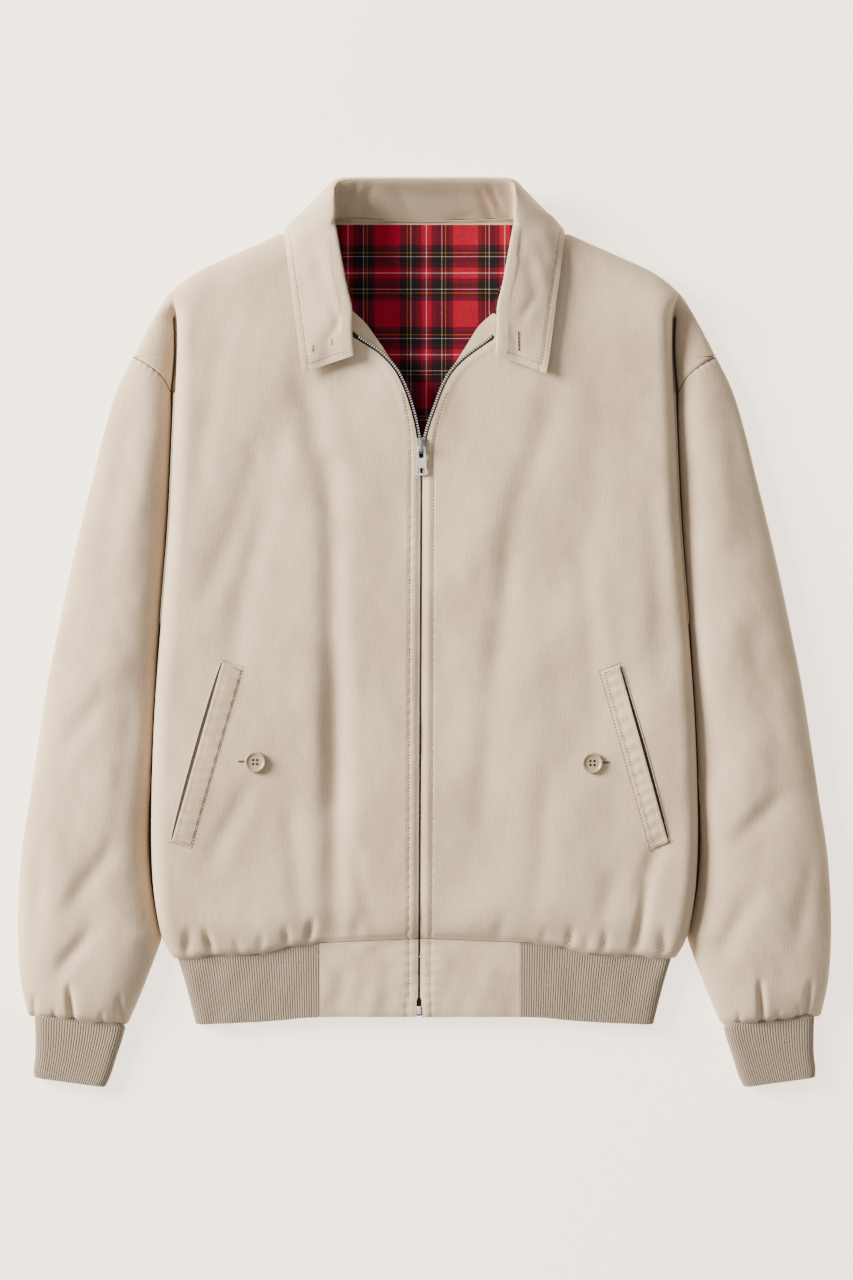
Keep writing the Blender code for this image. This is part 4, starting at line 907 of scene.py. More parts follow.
@dataclass(frozen=True)
class PlainFinish:
    """A finish of one colour with a fine grain: tape, metal, resin, thread or floor."""

    name: str
    colour: str
    roughness: float
    metallic: float = 0.0
    grain_mm: float = 1.0
    grain: float = 0.15
    bump: float = 0.1
    specular: float = 0.5

    def build(self) -> Material:
        """Make the material."""
        values = {} if self.metallic else {"Specular IOR Level": self.specular}
        material, tree, shader = new_material(self.name, {"Metallic": self.metallic, **values})
        noise = add_node(tree, "ShaderNodeTexNoise", {"Scale": 1.0, "Detail": 3.0},
                         {"Vector": object_mm(tree, (1 / self.grain_mm,) * 3)})
        level = add_node(tree, "ShaderNodeMapRange", {"From Min": 0.3, "From Max": 0.7,
                                                      "To Min": 1.0 - self.grain, "To Max": 1.0 + self.grain},
                         {"Value": noise.outputs["Fac"]})
        tint = add_node(tree, "ShaderNodeVectorMath", {"operation": "SCALE", 0: linear(self.colour)[:3]},
                        {"Scale": level.outputs["Result"]})
        rough = add_node(tree, "ShaderNodeMath", {"operation": "MULTIPLY", 1: self.roughness,
                                                  "use_clamp": True}, {0: level.outputs["Result"]})
        tree.links.new(rough.outputs[0], shader.inputs["Roughness"])
        dress(tree, shader, tint.outputs[0], noise.outputs["Fac"], self.bump, 0.0003)
        return material


def made(recipe: PoplinFinish | RibFinish | TartanFinish | PlainFinish) -> Material:
    """Field of a material that is made from its recipe."""
    return field(default_factory=recipe.build)


@dataclass
class Finishes:
    """All the finishes of the jacket, made once."""

    poplin: Material = made(PoplinFinish())
    rib: Material = made(RibFinish())
    tartan: Material = made(TartanFinish())
    # Woven polyester tape: dark, with a dull fine grain.
    tape: Material = made(PlainFinish(
        "woven_polyester_tape", "#2A2622", 0.85, grain_mm=0.7, grain=0.3, bump=0.4, specular=0.2))
    # Nickel-plated zinc: bright, lightly brushed.
    nickel: Material = made(PlainFinish(
        "nickel_plated_zinc", "#F2F1EF", 0.42, metallic=1.0, grain_mm=2.0, grain=0.08, bump=0.05))
    # Cast polyester resin: cream, half gloss.
    resin: Material = made(PlainFinish(
        "cast_polyester_resin", "#8E7C64", 0.42, grain_mm=3.5, grain=0.06, bump=0.04))
    # Spun polyester thread: a shade darker than the cloth it sinks into.
    thread: Material = made(PlainFinish(
        "spun_polyester_thread", "#857259", 0.8, grain_mm=0.6, grain=0.12, bump=0.2, specular=0.2))
    # Painted shade: the same thread, made darker to stand for the shade in a worked buttonhole.
    dark_thread: Material = made(PlainFinish(
        "buttonhole_thread", "#6E5C4A", 0.85, grain_mm=0.6, grain=0.2, bump=0.2, specular=0.2))
    # Painted shade: near-black runs that stand for the shade down in the button's holes.
    tie: Material = made(PlainFinish(
        "black_sewing_thread", "#0C0A08", 0.9, grain_mm=0.6, grain=0.2, bump=0.2, specular=0.1))
    # The slider's cast body, duller than the pull.
    dull_nickel: Material = made(PlainFinish(
        "satin_nickel_zinc", "#7E7F80", 0.5, metallic=1.0, grain_mm=2.0, grain=0.1, bump=0.05))
    # Painted shade: a dark colour that stands for the shade in the pocket mouths, the buttonhole slits and
    # the armhole seam grooves.
    shadow: Material = made(PlainFinish(
        "pocket_bag_cotton", "#3A322B", 0.95, grain_mm=1.0, grain=0.2, bump=0.2, specular=0.1))


# --------------------------------------------------------------------- cloth pieces
def tuck(edge: float, reach: float, base: float, low: float, count: int = 16) -> Points:
    """Points of a rolled side below its widest place, down to the surface, as x and z."""
    angle = np.radians(np.linspace(0.0, 90.0, count + 1)[1:])
    power = 2.0 / 2.4
    return np.column_stack([edge - reach * (1 - np.cos(angle).clip(0) ** power),
                            base + (low - base) * (1 - np.sin(angle) ** power)])


@dataclass
class FrontPanel:
    """One front: from the zip over the rolled side to the surface, shoulder cap included."""

    side: Side
    lower_rows: int = 122
    neck_rows: int = 84
    top_rows: int = 22
    edge_columns: int = 14
    flat_columns: int = 74
    steps: tuple[int, int, int] = (30, 8, 22)
    first_y: float = -275.0
    last_y: float = 361.0
    hem_bend_y: float = -200.0
    shortest_part: float = 2.5

    def row_ys(self) -> Points:
        """Y of each row, closer together beside the open neck."""
        lower = np.linspace(self.first_y, 150.0, self.lower_rows, endpoint=False)
        neck = np.linspace(150.0, 300.0, self.neck_rows, endpoint=False)
        return np.concatenate([lower, neck, np.linspace(300.0, self.last_y, self.top_rows)])

    def in_parts(self, parts: Sequence[Points]) -> Points:
        """Resample the parts of a run, each into its own count of steps."""
        runs = [spread(part, count + 1) for part, count in zip(parts, self.steps)]
        return np.concatenate([runs[0], *[run[1:] for run in runs[1:]]])

    def side_run(self, y: float, crest: float) -> Points:
        """Points from the crest of the roll to the end of a row, as x and z."""
        p = PATTERN
        if y <= p.armhole_front_y:
            edge = float(p.body.x(y))
            x = crest + (edge - crest) * np.sin(np.radians(np.linspace(0, 90, 46)))
            top = np.column_stack([x, SURFACE.body(self.side, x, np.full_like(x, y))])
            lip, middle, end = (np.array([[edge + dx, p.side_height + dz]])
                                for dx, dz in ((0.0, 5.0), (0.3, 2.0), (0.6, -4.6)))
            opened = self.in_parts((np.vstack([top[:-1], lip]), np.vstack([lip, middle]),
                                    np.vstack([middle, end])))
            under = np.vstack([top[-1:], tuck(edge, p.under_roll, 0.0, p.side_height)])
            closed = self.in_parts((top, under[:5], under[4:]))
            share = float(smooth(y, p.underarm_y - p.underarm_blend, p.underarm_y))
            return share * opened + (1 - share) * closed
        end_x = float(p.seam.x(y) if y <= p.armhole_top_y else p.outer.x(y))
        edge = float(p.body.x(y)) if y < p.tip_y else end_x
        valley_end = min(float(p.inner.x(y)) + 0.5, edge + 0.5 * (end_x - edge)) if y < p.tip_y else end_x
        first = min(edge, end_x - 2 * self.shortest_part)
        second = max(first + self.shortest_part, min(valley_end, end_x - self.shortest_part))

        def surface(start: float, stop: float, count: int) -> Points:
            x = np.linspace(start, stop, count)
            return np.column_stack([x, SURFACE.front(self.side, x, np.full_like(x, y))])

        cap = surface(second, end_x, 30)
        if y > p.armhole_top_y - 0.5:
            lift = float(p.lift(y))
            cap = np.vstack([cap, tuck(end_x, p.under_roll * p.outer_slope(y), lift, p.side_height)])
        return self.in_parts((surface(crest, first, 46), surface(first, second, 14), cap))

    def grid(self) -> Points:
        """Upper face of the front, rows from hem to neck and columns from zip to side."""
        p = PATTERN
        rows = []
        seam_drop = float(p.hem_top(p.hem_side_x)) - self.first_y
        for row_y in self.row_ys():
            share = float(smooth(row_y, self.hem_bend_y, self.first_y))
            side_y = row_y + seam_drop * share
            start = float(SURFACE.edge_x(self.side, row_y))
            edge = float(p.body.x(side_y) if side_y < p.tip_y else p.outer.x(side_y))
            inset = p.roll_body + 6.0 * float(smooth(row_y, 240, 309)) + 26.0 * float(smooth(row_y, 305, 345))
            crest = max(edge - inset, start + 0.4 * (edge - start))
            near = start + np.arange(self.edge_columns)
            flat_x = np.concatenate([near, np.linspace(start + self.edge_columns, crest, self.flat_columns,
                                                       endpoint=False)])
            y = row_y + (p.hem_top(np.minimum(flat_x, p.hem_side_x)) - self.first_y) * share
            flat = np.column_stack([flat_x, y, SURFACE.front(self.side, flat_x, y)])
            run = self.side_run(side_y, crest)
            side = np.column_stack([run[:, 0], np.full(len(run), side_y), run[:, 1]])
            rows.append(np.vstack([flat, side]))
        grid = np.array(rows)
        grid[0, :, 1] += PATTERN.seam_gap
        return np.concatenate([self.overhang(grid[0])[None], grid])

    @staticmethod
    def overhang(seam: Points) -> Points:
        """Row of cloth that puffs over the rib in small scallops."""
        lip = seam.copy()
        x = lip[:, 0]
        share = smooth(x, 90, 104) * smooth(lip[:, 2], 9, 13)
        scallop = 2.0 + 0.9 * np.sin(x / 5.3) + 0.6 * np.sin(x / 2.3 + 1.0)
        lip[:, 1] -= 0.05 + share * scallop
        lip[:, 2] -= 3.4 * share
        return lip

    def build(self, finishes: Finishes) -> Object:
        """Make the front in place of its CAD node."""
        node = self.side.node("front")
        piece = Cloth(f"{node}_cloth", self.grid(), PATTERN.cloth, mirror=self.side is Side.RIGHT).build(
            finishes.poplin, "shell_cotton", node)
        return piece


@dataclass
class BackPanel:
    """The back, flat on the surface and lifted over the collar's back fall."""

    rows: int = 110
    columns: int = 90
    neck_y: float = 373.0

    def half_width(self, y: Points) -> Points:
        """Half width of the back, just inside the rolled fronts or at the arm seams."""
        p = PATTERN
        slopes = np.array([p.outer_slope(float(v)) for v in y])
        low = p.body.x(np.maximum(y, -288)) - p.under_roll - p.seam_gap
        seam = p.seam.x(y) - p.under_roll - 1.0 - p.seam_gap
        shoulder = p.outer.x(y) - (p.under_roll + p.seam_gap) * slopes
        return np.where(y <= p.armhole_front_y, low, np.where(y < p.armhole_top_y, seam, shoulder))

    def grid(self) -> Points:
        """Upper face of the back panel."""
        y = np.linspace(PATTERN.back_hem_y + PATTERN.seam_gap, 348.0, self.rows)
        y = np.append(y, self.neck_y)
        width = self.half_width(y)
        width[-1] = min(104.0, 0.9 * width[-2])
        share = np.linspace(-1.0, 1.0, self.columns)
        x = width[:, None] * share[None, :]
        y = np.broadcast_to(y[:, None], x.shape).copy()
        y[-1] -= 8.0 * np.clip((np.abs(x[-1]) - 84.0) / 20.0, 0.0, 1.0)
        z = PATTERN.cloth + PATTERN.lift(y)
        return np.stack([x, y, z], axis=2)

    def build(self, finishes: Finishes) -> Object:
        """Make the back in place of its CAD node."""
        piece = Cloth("back_panel_cloth", self.grid(), PATTERN.cloth).build(
            finishes.poplin, "shell_cotton", "back_panel")
        return piece


@dataclass
class BackLining:
    """The tartan lining of the back, seen through the open neck."""

    rows: int = 90
    columns: int = 90
    top_y: float = 371.0

    def build(self, finishes: Finishes) -> Object:
        """Make the lining, on the back panel."""
        p = PATTERN
        y = np.linspace(130.0, self.top_y, self.rows)
        width = np.interp(y, [130, 250, 300, 362], [60, 120, 112, 84])
        x = width[:, None] * np.linspace(-1.0, 1.0, self.columns)[None, :]
        y = np.broadcast_to(y[:, None], x.shape)
        z = p.cloth + p.seam_gap + p.lining + p.lift(y) + self.ripple(x, y)
        piece = Cloth("lining_back_cloth", np.stack([x, y, z], axis=2), p.lining).build(
            finishes.tartan, "tartan_lining", "lining_back")
        return piece

    def ripple(self, x: Points, y: Points) -> Points:
        """Slight looseness of the lining, never below its flat lie."""
        wave = cloth_waver(x, y, SEED + 40, ((60, 0.5), (28, 0.2)))
        return np.maximum(wave + 0.5, 0.0) * smooth(self.top_y - y, 0.0, 10.0)


@dataclass
class Sleeve:
    """One sleeve: a tube that lies flat, open at the armhole and at the cuff."""

    side: Side
    stations: int = 210
    top_columns: int = 84
    outer_ys: tuple[float, ...] = (251, 238, 220, 192, 158, 116, 74, 40, 12, -40, -92, -144, -192, -236,
                                   -270, -296, -316, -332, -344)
    inner_ys: tuple[float, ...] = (218, 206, 190, 166, 136, 100, 64, 34, 8, -42, -92, -144, -192, -236,
                                   -270, -298, -320, -338, -353)
    seam: Points = field(init=False)

    def __post_init__(self) -> None:
        """Spread the armhole seam's points evenly."""
        self.seam = spread(curve_through(PATTERN.arm_seam, 8), 60)

    def seam_bow(self, share: Points) -> Points:
        """How far the armhole seam bows from its straight chord."""
        at = np.linspace(0.0, 1.0, len(self.seam))
        spot = np.column_stack([np.interp(share, at, self.seam[:, i]) for i in range(2)])
        chord = self.seam[0] + (self.seam[-1] - self.seam[0]) * share[:, None]
        return spot - chord

    def ring(self, index: float, outer_y: float, inner_y: float) -> Points:
        """Ring of points from the inner fold over the top and back below."""
        p = PATTERN
        outer = np.array((float(p.outer.x(outer_y)), outer_y))
        inner = np.array((float(p.inner.x(inner_y)), inner_y))
        opened = float(smooth(inner_y, p.underarm_y + 4, p.underarm_y + 20))
        length = float(np.linalg.norm(outer - inner))
        across = (outer - inner) / length
        seam_share = max(0.0, 1 - index / 3.0)
        cuff_gap = min(outer_y - p.cuff_outer[1], inner_y - p.cuff_inner[1])
        low = float(p.low_side(cuff_gap))

        def at(distance: Points) -> Points:
            distance = np.atleast_1d(np.asarray(distance, dtype=float))
            return inner + distance[:, None] * across + self.seam_bow(
                np.clip(distance / length, 0, 1)) * seam_share

        valley_x = float(p.body.x(inner_y)) + 0.6 + p.seam_gap
        back_x = float(p.body.x(min(inner_y, p.armhole_front_y))) - p.under_roll
        inner_low = low - float(SURFACE.tuck_drop(low, inner_y))
        turn = tuck(0.0, -p.under_roll, 0.0, inner_low, 9)[::-1]
        free_spot = at(turn[:, 0])
        rise = np.linspace(0.0, 1.0, len(turn))
        opened_points = np.column_stack([valley_x + 0.1 * rise, np.full(len(turn), inner_y),
                                         inner_low - 0.8 + 0.8 * rise])
        free_points = np.column_stack([free_spot, turn[:, 1]])
        start = (1 - opened) * free_points + opened * opened_points
        distance = length * (1 - np.cos(np.linspace(0.0, math.pi, self.top_columns + 2)[1:-1])) / 2
        even = length * np.linspace(0.0, 1.0, self.top_columns + 2)[1:-1]
        spot = at(0.55 * distance + 0.45 * even)
        top = np.column_stack([spot, SURFACE.arm(self.side, spot[:, 0], spot[:, 1])])
        out = tuck(0.0, p.under_roll, 0.0, low, 9)
        edge = np.vstack([[[0.0, low]], out])
        end = np.column_stack([at(length + edge[:, 0]), edge[:, 1]])
        floor = at(length * np.array((0.75, 0.5, 0.3)))
        bottom = np.column_stack([floor, np.zeros(3)])
        free = at(min(p.under_roll + 6.0, 0.25 * length))[0]
        last = np.array([[(1 - opened) * free[0] + opened * back_x,
                          (1 - opened) * free[1] + opened * inner_y, 0.0]])
        return np.vstack([start, top, end, bottom, last])

    @staticmethod
    def allowance(seam: Points) -> Points:
        """Seam allowance of the sleeve head, folded under the shoulder."""
        turned = seam + np.array((0.0, 0.05, 0.0))
        return turned + smooth(seam[:, 2], 9.0, 14.0)[:, None] * np.array((-2.0, 2.2, -1.9))

    @staticmethod
    def overhang(seam: Points) -> Points:
        """Row of cloth that puffs over the cuff in small scallops."""
        x, share = seam[:, 0], smooth(seam[:, 2], 6.5, 10.0)
        scallop = 2.2 + 0.8 * np.sin(x / 4.3) + 0.5 * np.sin(x / 1.9)
        return seam + np.column_stack([0.2 * share, -0.05 - share * scallop, -2.6 * share])

    def build(self, finishes: Finishes) -> Object:
        """Make the sleeve in place of its CAD node."""
        marks = curve_through(list(zip(range(len(self.outer_ys)), self.outer_ys, self.inner_ys)), 10)
        run = along_run(marks[:, 1:])
        index = np.interp(np.linspace(0, run[-1], self.stations), run, marks[:, 0])
        outer_y, inner_y = (np.interp(index, marks[:, 0], marks[:, i]) for i in (1, 2))
        grid = np.array([self.ring(*place) for place in zip(index, outer_y, inner_y)])
        grid[0, :, 1] -= PATTERN.seam_gap * 1.5
        grid[-1, :, 1] += PATTERN.seam_gap
        closed = [bool(inner_y[r] < PATTERN.underarm_y + 10) for r in range(self.stations - 1)]
        grid = np.concatenate([self.allowance(grid[0])[None], grid, self.overhang(grid[-1])[None]])
        closed = [False, *closed, True]
        node = self.side.node("sleeve")
        piece = Cloth(f"{node}_cloth", grid, PATTERN.cloth, -1, self.side is Side.RIGHT, closed).build(
            finishes.poplin, "shell_cotton", node)
        return piece


# --------------------------------------------------------------------- node trees
def new_tree(name: str, inputs: dict[str, tuple[str, object]]) -> tuple[
        NodeTree, Node, Node]:
    """Start a Geometry Nodes tree.

    Args:
        name: Name of the tree.
        inputs: Socket type and default value of each named input.

    Returns:
        The tree, its input node and its output node.
    """
    tree = bpy.data.node_groups.new(name, "GeometryNodeTree")
    tree.interface.new_socket(name="Geometry", in_out="INPUT", socket_type="NodeSocketGeometry")
    for key, (kind, value) in inputs.items():
        socket = tree.interface.new_socket(name=key, in_out="INPUT", socket_type=kind)
        if value is not None:
            socket.default_value = value
    tree.interface.new_socket(name="Geometry", in_out="OUTPUT", socket_type="NodeSocketGeometry")
    return tree, tree.nodes.new("NodeGroupInput"), tree.nodes.new("NodeGroupOutput")


def run_tree(piece: Object, tree: NodeTree, values: dict[str, object]) -> Object:
    """Run a tree on a piece and keep its result as a plain mesh.

    Args:
        piece: Object that holds the paths or the surface.
        tree: Tree to run.
        values: Values of the tree's named inputs.

    Returns:
        The same object with the made mesh.
    """
    modifier = piece.modifiers.new(tree.name, "NODES")
    modifier.node_group = tree
    for item in tree.interface.items_tree:
        if getattr(item, "in_out", "") == "INPUT" and item.name in values:
            modifier[item.identifier] = values[item.name]
    return bake(piece)


@dataclass
class PathRuns:
    """Rows of one small shape that follow paths, made by Geometry Nodes."""

    name: str
    pitch: float = 3.0
    runs: list[Points] = field(default_factory=list)

    def add(self, run: Points) -> None:
        """Add a path of millimetre points."""
        self.runs.append(np.asarray(run, dtype=float))

    def sizes(self) -> dict[str, tuple[str, object]]:
        """Socket type and value of the tree's named inputs that size the shape."""
        raise NotImplementedError

    def turn(self) -> dict[str, str]:
        """How the shape turns to its path."""
        raise NotImplementedError

    def shape(self, tree: NodeTree, given: Node) -> dict[str, NodeSocket]:
        """Add the nodes of the shape; give what it feeds to the placing node."""
        raise NotImplementedError

    def tree(self) -> NodeTree:
        """Make the tree: points along each path, each with one turned shape."""
        tree, given, out = new_tree(f"{self.name}_tree", {
            "Pitch": ("NodeSocketFloat", self.pitch * MM), "Finish": ("NodeSocketMaterial", None),
            **self.sizes()})
        curve = add_node(tree, "GeometryNodeMeshToCurve", links={"Mesh": given.outputs["Geometry"]})
        places = add_node(tree, "GeometryNodeCurveToPoints", {"mode": "LENGTH"},
                          {"Curve": curve.outputs["Curve"], "Length": given.outputs["Pitch"]})
        turned = add_node(tree, "FunctionNodeAlignRotationToVector", self.turn(),
                          {"Vector": places.outputs["Tangent"]})
        placed = add_node(tree, "GeometryNodeInstanceOnPoints", links={
            "Points": places.outputs["Points"], "Rotation": turned.outputs["Rotation"],
            **self.shape(tree, given)})
        real = add_node(tree, "GeometryNodeRealizeInstances", links={"Geometry": placed.outputs[0]})
        dressed = add_node(tree, "GeometryNodeSetMaterial", links={
            "Geometry": real.outputs[0], "Material": given.outputs["Finish"]})
        tree.links.new(dressed.outputs[0], out.inputs["Geometry"])
        return tree

    def build(self, material: Material, slot: str) -> Object:
        """Make all the runs as one mesh."""
        edges: list[tuple[int, int]] = []
        start = 0
        for run in self.runs:
            edges += [(start + i, start + i + 1) for i in range(len(run) - 1)]
            start += len(run)
        piece = mesh_object(self.name, np.vstack(self.runs), [], None, edges)
        values = {key: value for key, (_, value) in self.sizes().items()}
        run_tree(piece, self.tree(), {"Pitch": self.pitch * MM, "Finish": material, **values})
        return fit(piece)


@dataclass
class ThreadRuns(PathRuns):
    """Rows of sunk stitches that follow paths on the cloth."""

    stitch: float = 2.5
    radius: float = 0.26
    turned: bool = False

    def sizes(self) -> dict[str, tuple[str, object]]:
        """Length of a stitch and radius of its thread."""
        return {"Stitch Length": ("NodeSocketFloat", self.stitch * MM),
                "Thread Radius": ("NodeSocketFloat", self.radius * MM)}

    def turn(self) -> dict[str, str]:
        """Stitches lie along the path, or across it where they are turned."""
        return {"axis": "Y" if self.turned else "X"}

    def shape(self, tree: NodeTree, given: Node) -> dict[str, NodeSocket]:
        """Add the bead of one stitch and its size."""
        bead = add_node(tree, "GeometryNodeMeshUVSphere", {"Segments": 6, "Rings": 4, "Radius": 1.0})
        half = add_node(tree, "ShaderNodeMath", {"operation": "MULTIPLY", 1: 0.5},
                        {0: given.outputs["Stitch Length"]})
        size = add_node(tree, "ShaderNodeCombineXYZ", links={
            "X": half.outputs[0], "Y": given.outputs["Thread Radius"], "Z": given.outputs["Thread Radius"]})
        return {"Instance": bead.outputs["Mesh"], "Scale": size.outputs[0]}


@dataclass
class ToothRuns(PathRuns):
    """Rows of zip teeth that follow the tapes' inner edges, level with the tape."""

    pitch: float = 1.8
    tooth: tuple[float, float, float] = (0.95, 1.9, 1.4)

    def sizes(self) -> dict[str, tuple[str, object]]:
        """Size of a tooth."""
        return {"Tooth Size": ("NodeSocketVector", tuple(s * MM for s in self.tooth))}

    def turn(self) -> dict[str, str]:
        """Teeth turn about the upright only."""
        return {"axis": "X", "pivot_axis": "Z"}

    def shape(self, tree: NodeTree, given: Node) -> dict[str, NodeSocket]:
        """Add the block of one tooth."""
        block = add_node(tree, "GeometryNodeMeshCube", {"Vertices X": 3, "Vertices Y": 4, "Vertices Z": 3},
                         {"Size": given.outputs["Tooth Size"]})
        return {"Instance": block.outputs["Mesh"]}


def knit_tree() -> NodeTree:
    """Make the tree that sinks a furrow between every two wales of a rib knit."""
    tree, given, out = new_tree("rib_knit_wales", {
        "Wale Pitch": ("NodeSocketFloat", 0.0022), "Furrow Depth": ("NodeSocketFloat", 0.0005),
        "Knit": ("NodeSocketMaterial", None)})
    around = add_node(tree, "GeometryNodeInputNamedAttribute", {"data_type": "FLOAT", "Name": "around"})
    turns = add_node(tree, "ShaderNodeMath", {"operation": "DIVIDE"},
                     {0: around.outputs["Attribute"], 1: given.outputs["Wale Pitch"]})
    angle = add_node(tree, "ShaderNodeMath", {"operation": "MULTIPLY", 1: math.pi}, {0: turns.outputs[0]})
    wave = add_node(tree, "ShaderNodeMath", {"operation": "SINE"}, {0: angle.outputs[0]})
    wave = add_node(tree, "ShaderNodeMath", {"operation": "ABSOLUTE"}, {0: wave.outputs[0]})
    wale = add_node(tree, "ShaderNodeMath", {"operation": "POWER", 1: 0.75}, {0: wave.outputs[0]})
    sunk = add_node(tree, "ShaderNodeMath", {"operation": "SUBTRACT", 1: 1.0}, {0: wale.outputs[0]})
    depth = add_node(tree, "ShaderNodeMath", {"operation": "MULTIPLY"},
                     {0: sunk.outputs[0], 1: given.outputs["Furrow Depth"]})
    normal = add_node(tree, "GeometryNodeInputNormal")
    offset = add_node(tree, "ShaderNodeVectorMath", {"operation": "SCALE"},
                      {0: normal.outputs[0], "Scale": depth.outputs[0]})
    moved = add_node(tree, "GeometryNodeSetPosition", links={
        "Geometry": given.outputs["Geometry"], "Offset": offset.outputs[0]})
    # The wale share kept here lets the knit material paint shade into the furrows.
    kept = add_node(tree, "GeometryNodeStoreNamedAttribute",
                    {"data_type": "FLOAT", "domain": "POINT", "Name": "wale"},
                    {"Geometry": moved.outputs[0], "Value": wale.outputs[0]})
    real = add_node(tree, "GeometryNodeRealizeInstances", links={"Geometry": kept.outputs[0]})
    dressed = add_node(tree, "GeometryNodeSetMaterial", links={
        "Geometry": real.outputs[0], "Material": given.outputs["Knit"]})
    tree.links.new(dressed.outputs[0], out.inputs["Geometry"])
    return tree


@dataclass
class RibKnit:
    """A wall of rib knit: a grid whose columns run along the wales."""

    name: str
    grid: Points
    pitch: float = WALE
    furrow: float = 0.55
    mirror: bool = False
    closed: bool = False
    turn: int = -1

    def build(self, tree: NodeTree, material: Material) -> Object:
        """Make the knit wall."""
        rows, columns = self.grid.shape[:2]
        cloth = Cloth(self.name, self.grid, PATTERN.rib, self.turn, self.mirror,
                      [self.closed] * (rows - 1))
        points = self.grid.reshape(-1, 3).copy()
        if self.mirror:
            points[:, 0] *= -1
        piece = mesh_object(self.name, points, cloth.faces(), material)
        around = np.tile(np.arange(columns) * self.pitch / WALE_COLUMNS * MM, rows)
        layer = piece.data.attributes.new("around", "FLOAT", "POINT")
        layer.data.foreach_set("value", around.astype(np.float32))
        run_tree(piece, tree, {"Wale Pitch": self.pitch * MM, "Furrow Depth": self.furrow * MM,
                               "Knit": material})
        add_wall(piece, PATTERN.rib)
        return bake(piece, 70.0)


# ------------------------------------------------------------------------ rib pieces
def wale_columns(around: float) -> int:
    """Mesh columns of whole wales round a run of knit."""
    return int(round(around / WALE)) * WALE_COLUMNS


@dataclass
class Cuff:
    """One ribbed cuff: a flattened tube, open at both ends."""

    side: Side
    rows: int = 26
    line: tuple[Row, ...] = ((353.5, -346.0, 271.0, -356.5), (353.0, -362.0, 274.0, -368.0),
                             (353.0, -380.0, 279.0, -383.0), (354.5, -394.0, 284.0, -399.0),
                             (354.0, -401.0, 289.0, -410.0))

    def ring(self, row: Points) -> Points:
        """Ring of points round the cuff at one place down it."""
        p = PATTERN
        outer, inner = row[:2], row[2:4]
        length = float(np.linalg.norm(outer - inner))
        across = (outer - inner) / length
        height = p.cuff_height - 1.5 * float(smooth(outer[1], -346, -400))
        low = p.cuff_side_height
        gaps = np.concatenate([np.linspace(0.0, p.roll_cuff, 12), [length / 2]])
        top = low + (height - low) * roll(gaps, p.roll_cuff)
        left = np.column_stack([gaps, top])
        right = np.column_stack([length - gaps[:-1], top[:-1]])[::-1]
        under = tuck(length, 6.0, 0.0, low, 8)
        mirror = np.column_stack([length - under[:, 0], under[:, 1]])[::-1]
        middle = np.array([[length / 2, 0.0]])
        run = np.vstack([left, right, under, middle, mirror, left[:1]])
        return np.column_stack([inner + run[:, :1] * across, run[:, 1]])

    @staticmethod
    def tucked(grid: Points) -> Points:
        """Ring of knit drawn up inside the gathered sleeve end."""
        middle = grid[0].mean(axis=0)
        up = middle - grid[3].mean(axis=0)
        ring = middle + (grid[0] - middle) * np.array((0.9, 0.9, 0.8)) + 6.0 * up / np.linalg.norm(up)
        ring[:, 2] = np.maximum(ring[:, 2], 1.4)
        return ring

    def build(self, tree: NodeTree, finishes: Finishes) -> Object:
        """Make the cuff in place of its CAD node."""
        table = spread(curve_through(self.line, 6), self.rows)
        rings = [self.ring(row) for row in table]
        around = float(along_run(rings[len(rings) // 2])[-1])
        count = wale_columns(around)
        grid = np.array([spread(ring, count + 1)[:-1] for ring in rings])
        grid[0, :, 1] -= PATTERN.seam_gap
        grid = np.concatenate([self.tucked(grid)[None], grid])
        node = self.side.node("cuff")
        piece = RibKnit(f"{node}_knit", grid, pitch=around / (count / WALE_COLUMNS),
                        mirror=self.side is Side.RIGHT, closed=True).build(tree, finishes.rib)
        fit(piece, nodes=(node,))
        return piece


@dataclass
class HemRib:
    """The rib round the sides and the back of the hem."""

    rows: int = 18

    def half_run(self, side: Side, share: float) -> Points:
        """Half a row of the rib, from the woven band round the side to the middle of the back."""
        p = PATTERN
        high = float(p.band_height(share))
        start = BAND_END[side] + p.seam_gap
        side_y = float(p.hem_y(p.hem_side_x, share))
        edge = float(np.interp(side_y, *zip(*reversed(p.rib_edge))))
        low = 0.5 * high
        flat_x = np.linspace(start, edge - 12.0, 30)
        flat = np.column_stack([flat_x, np.full(30, high)])
        gap = np.linspace(11.5, 0.0, 14)
        bend = np.column_stack([edge - gap, low + (high - low) * roll(gap, 12.0)])
        below = tuck(edge, 7.0, 0.0, low, 8)
        run = np.vstack([flat, bend, below])
        front = np.column_stack([run[:, 0], p.hem_y(run[:, 0], share), run[:, 1]])
        back_x = np.linspace(edge - 12.0, 0.0, 40)
        back_y = p.back_hem_y + (p.hem_bottom(back_x) - p.back_hem_y) * share
        return np.vstack([front, np.column_stack([back_x, back_y, np.zeros(40)])])

    def build(self, tree: NodeTree, finishes: Finishes) -> Object:
        """Make the rib in place of its CAD node."""
        runs = []
        for share in np.linspace(0.0, 1.0, self.rows):
            left = self.half_run(Side.LEFT, float(share))
            right = self.half_run(Side.RIGHT, float(share))[:-1][::-1] * np.array((-1.0, 1.0, 1.0))
            runs.append(np.vstack([left, right]))
        around = float(along_run(runs[self.rows // 2])[-1])
        count = wale_columns(around)
        grid = np.array([spread(run, count + 1) for run in runs])
        high = smooth(np.abs(grid[:, :, 0]), 90.0, 110.0) * (grid[:, :, 2] > 8.0)
        waver = cloth_waver(grid[:, :, 0], grid[:, :, 1], SEED + 21, ((55, 0.5), (26, 0.3)))
        grid[:, :, 2] += high * waver * smooth(grid[:, :, 2], 8.0, 12.0)
        grid[0, :, 1] -= PATTERN.seam_gap
        piece = RibKnit("hem_rib_knit", grid, pitch=around / (count / WALE_COLUMNS)).build(tree, finishes.rib)
        fit(piece, nodes=("hem_rib",))
        return piece


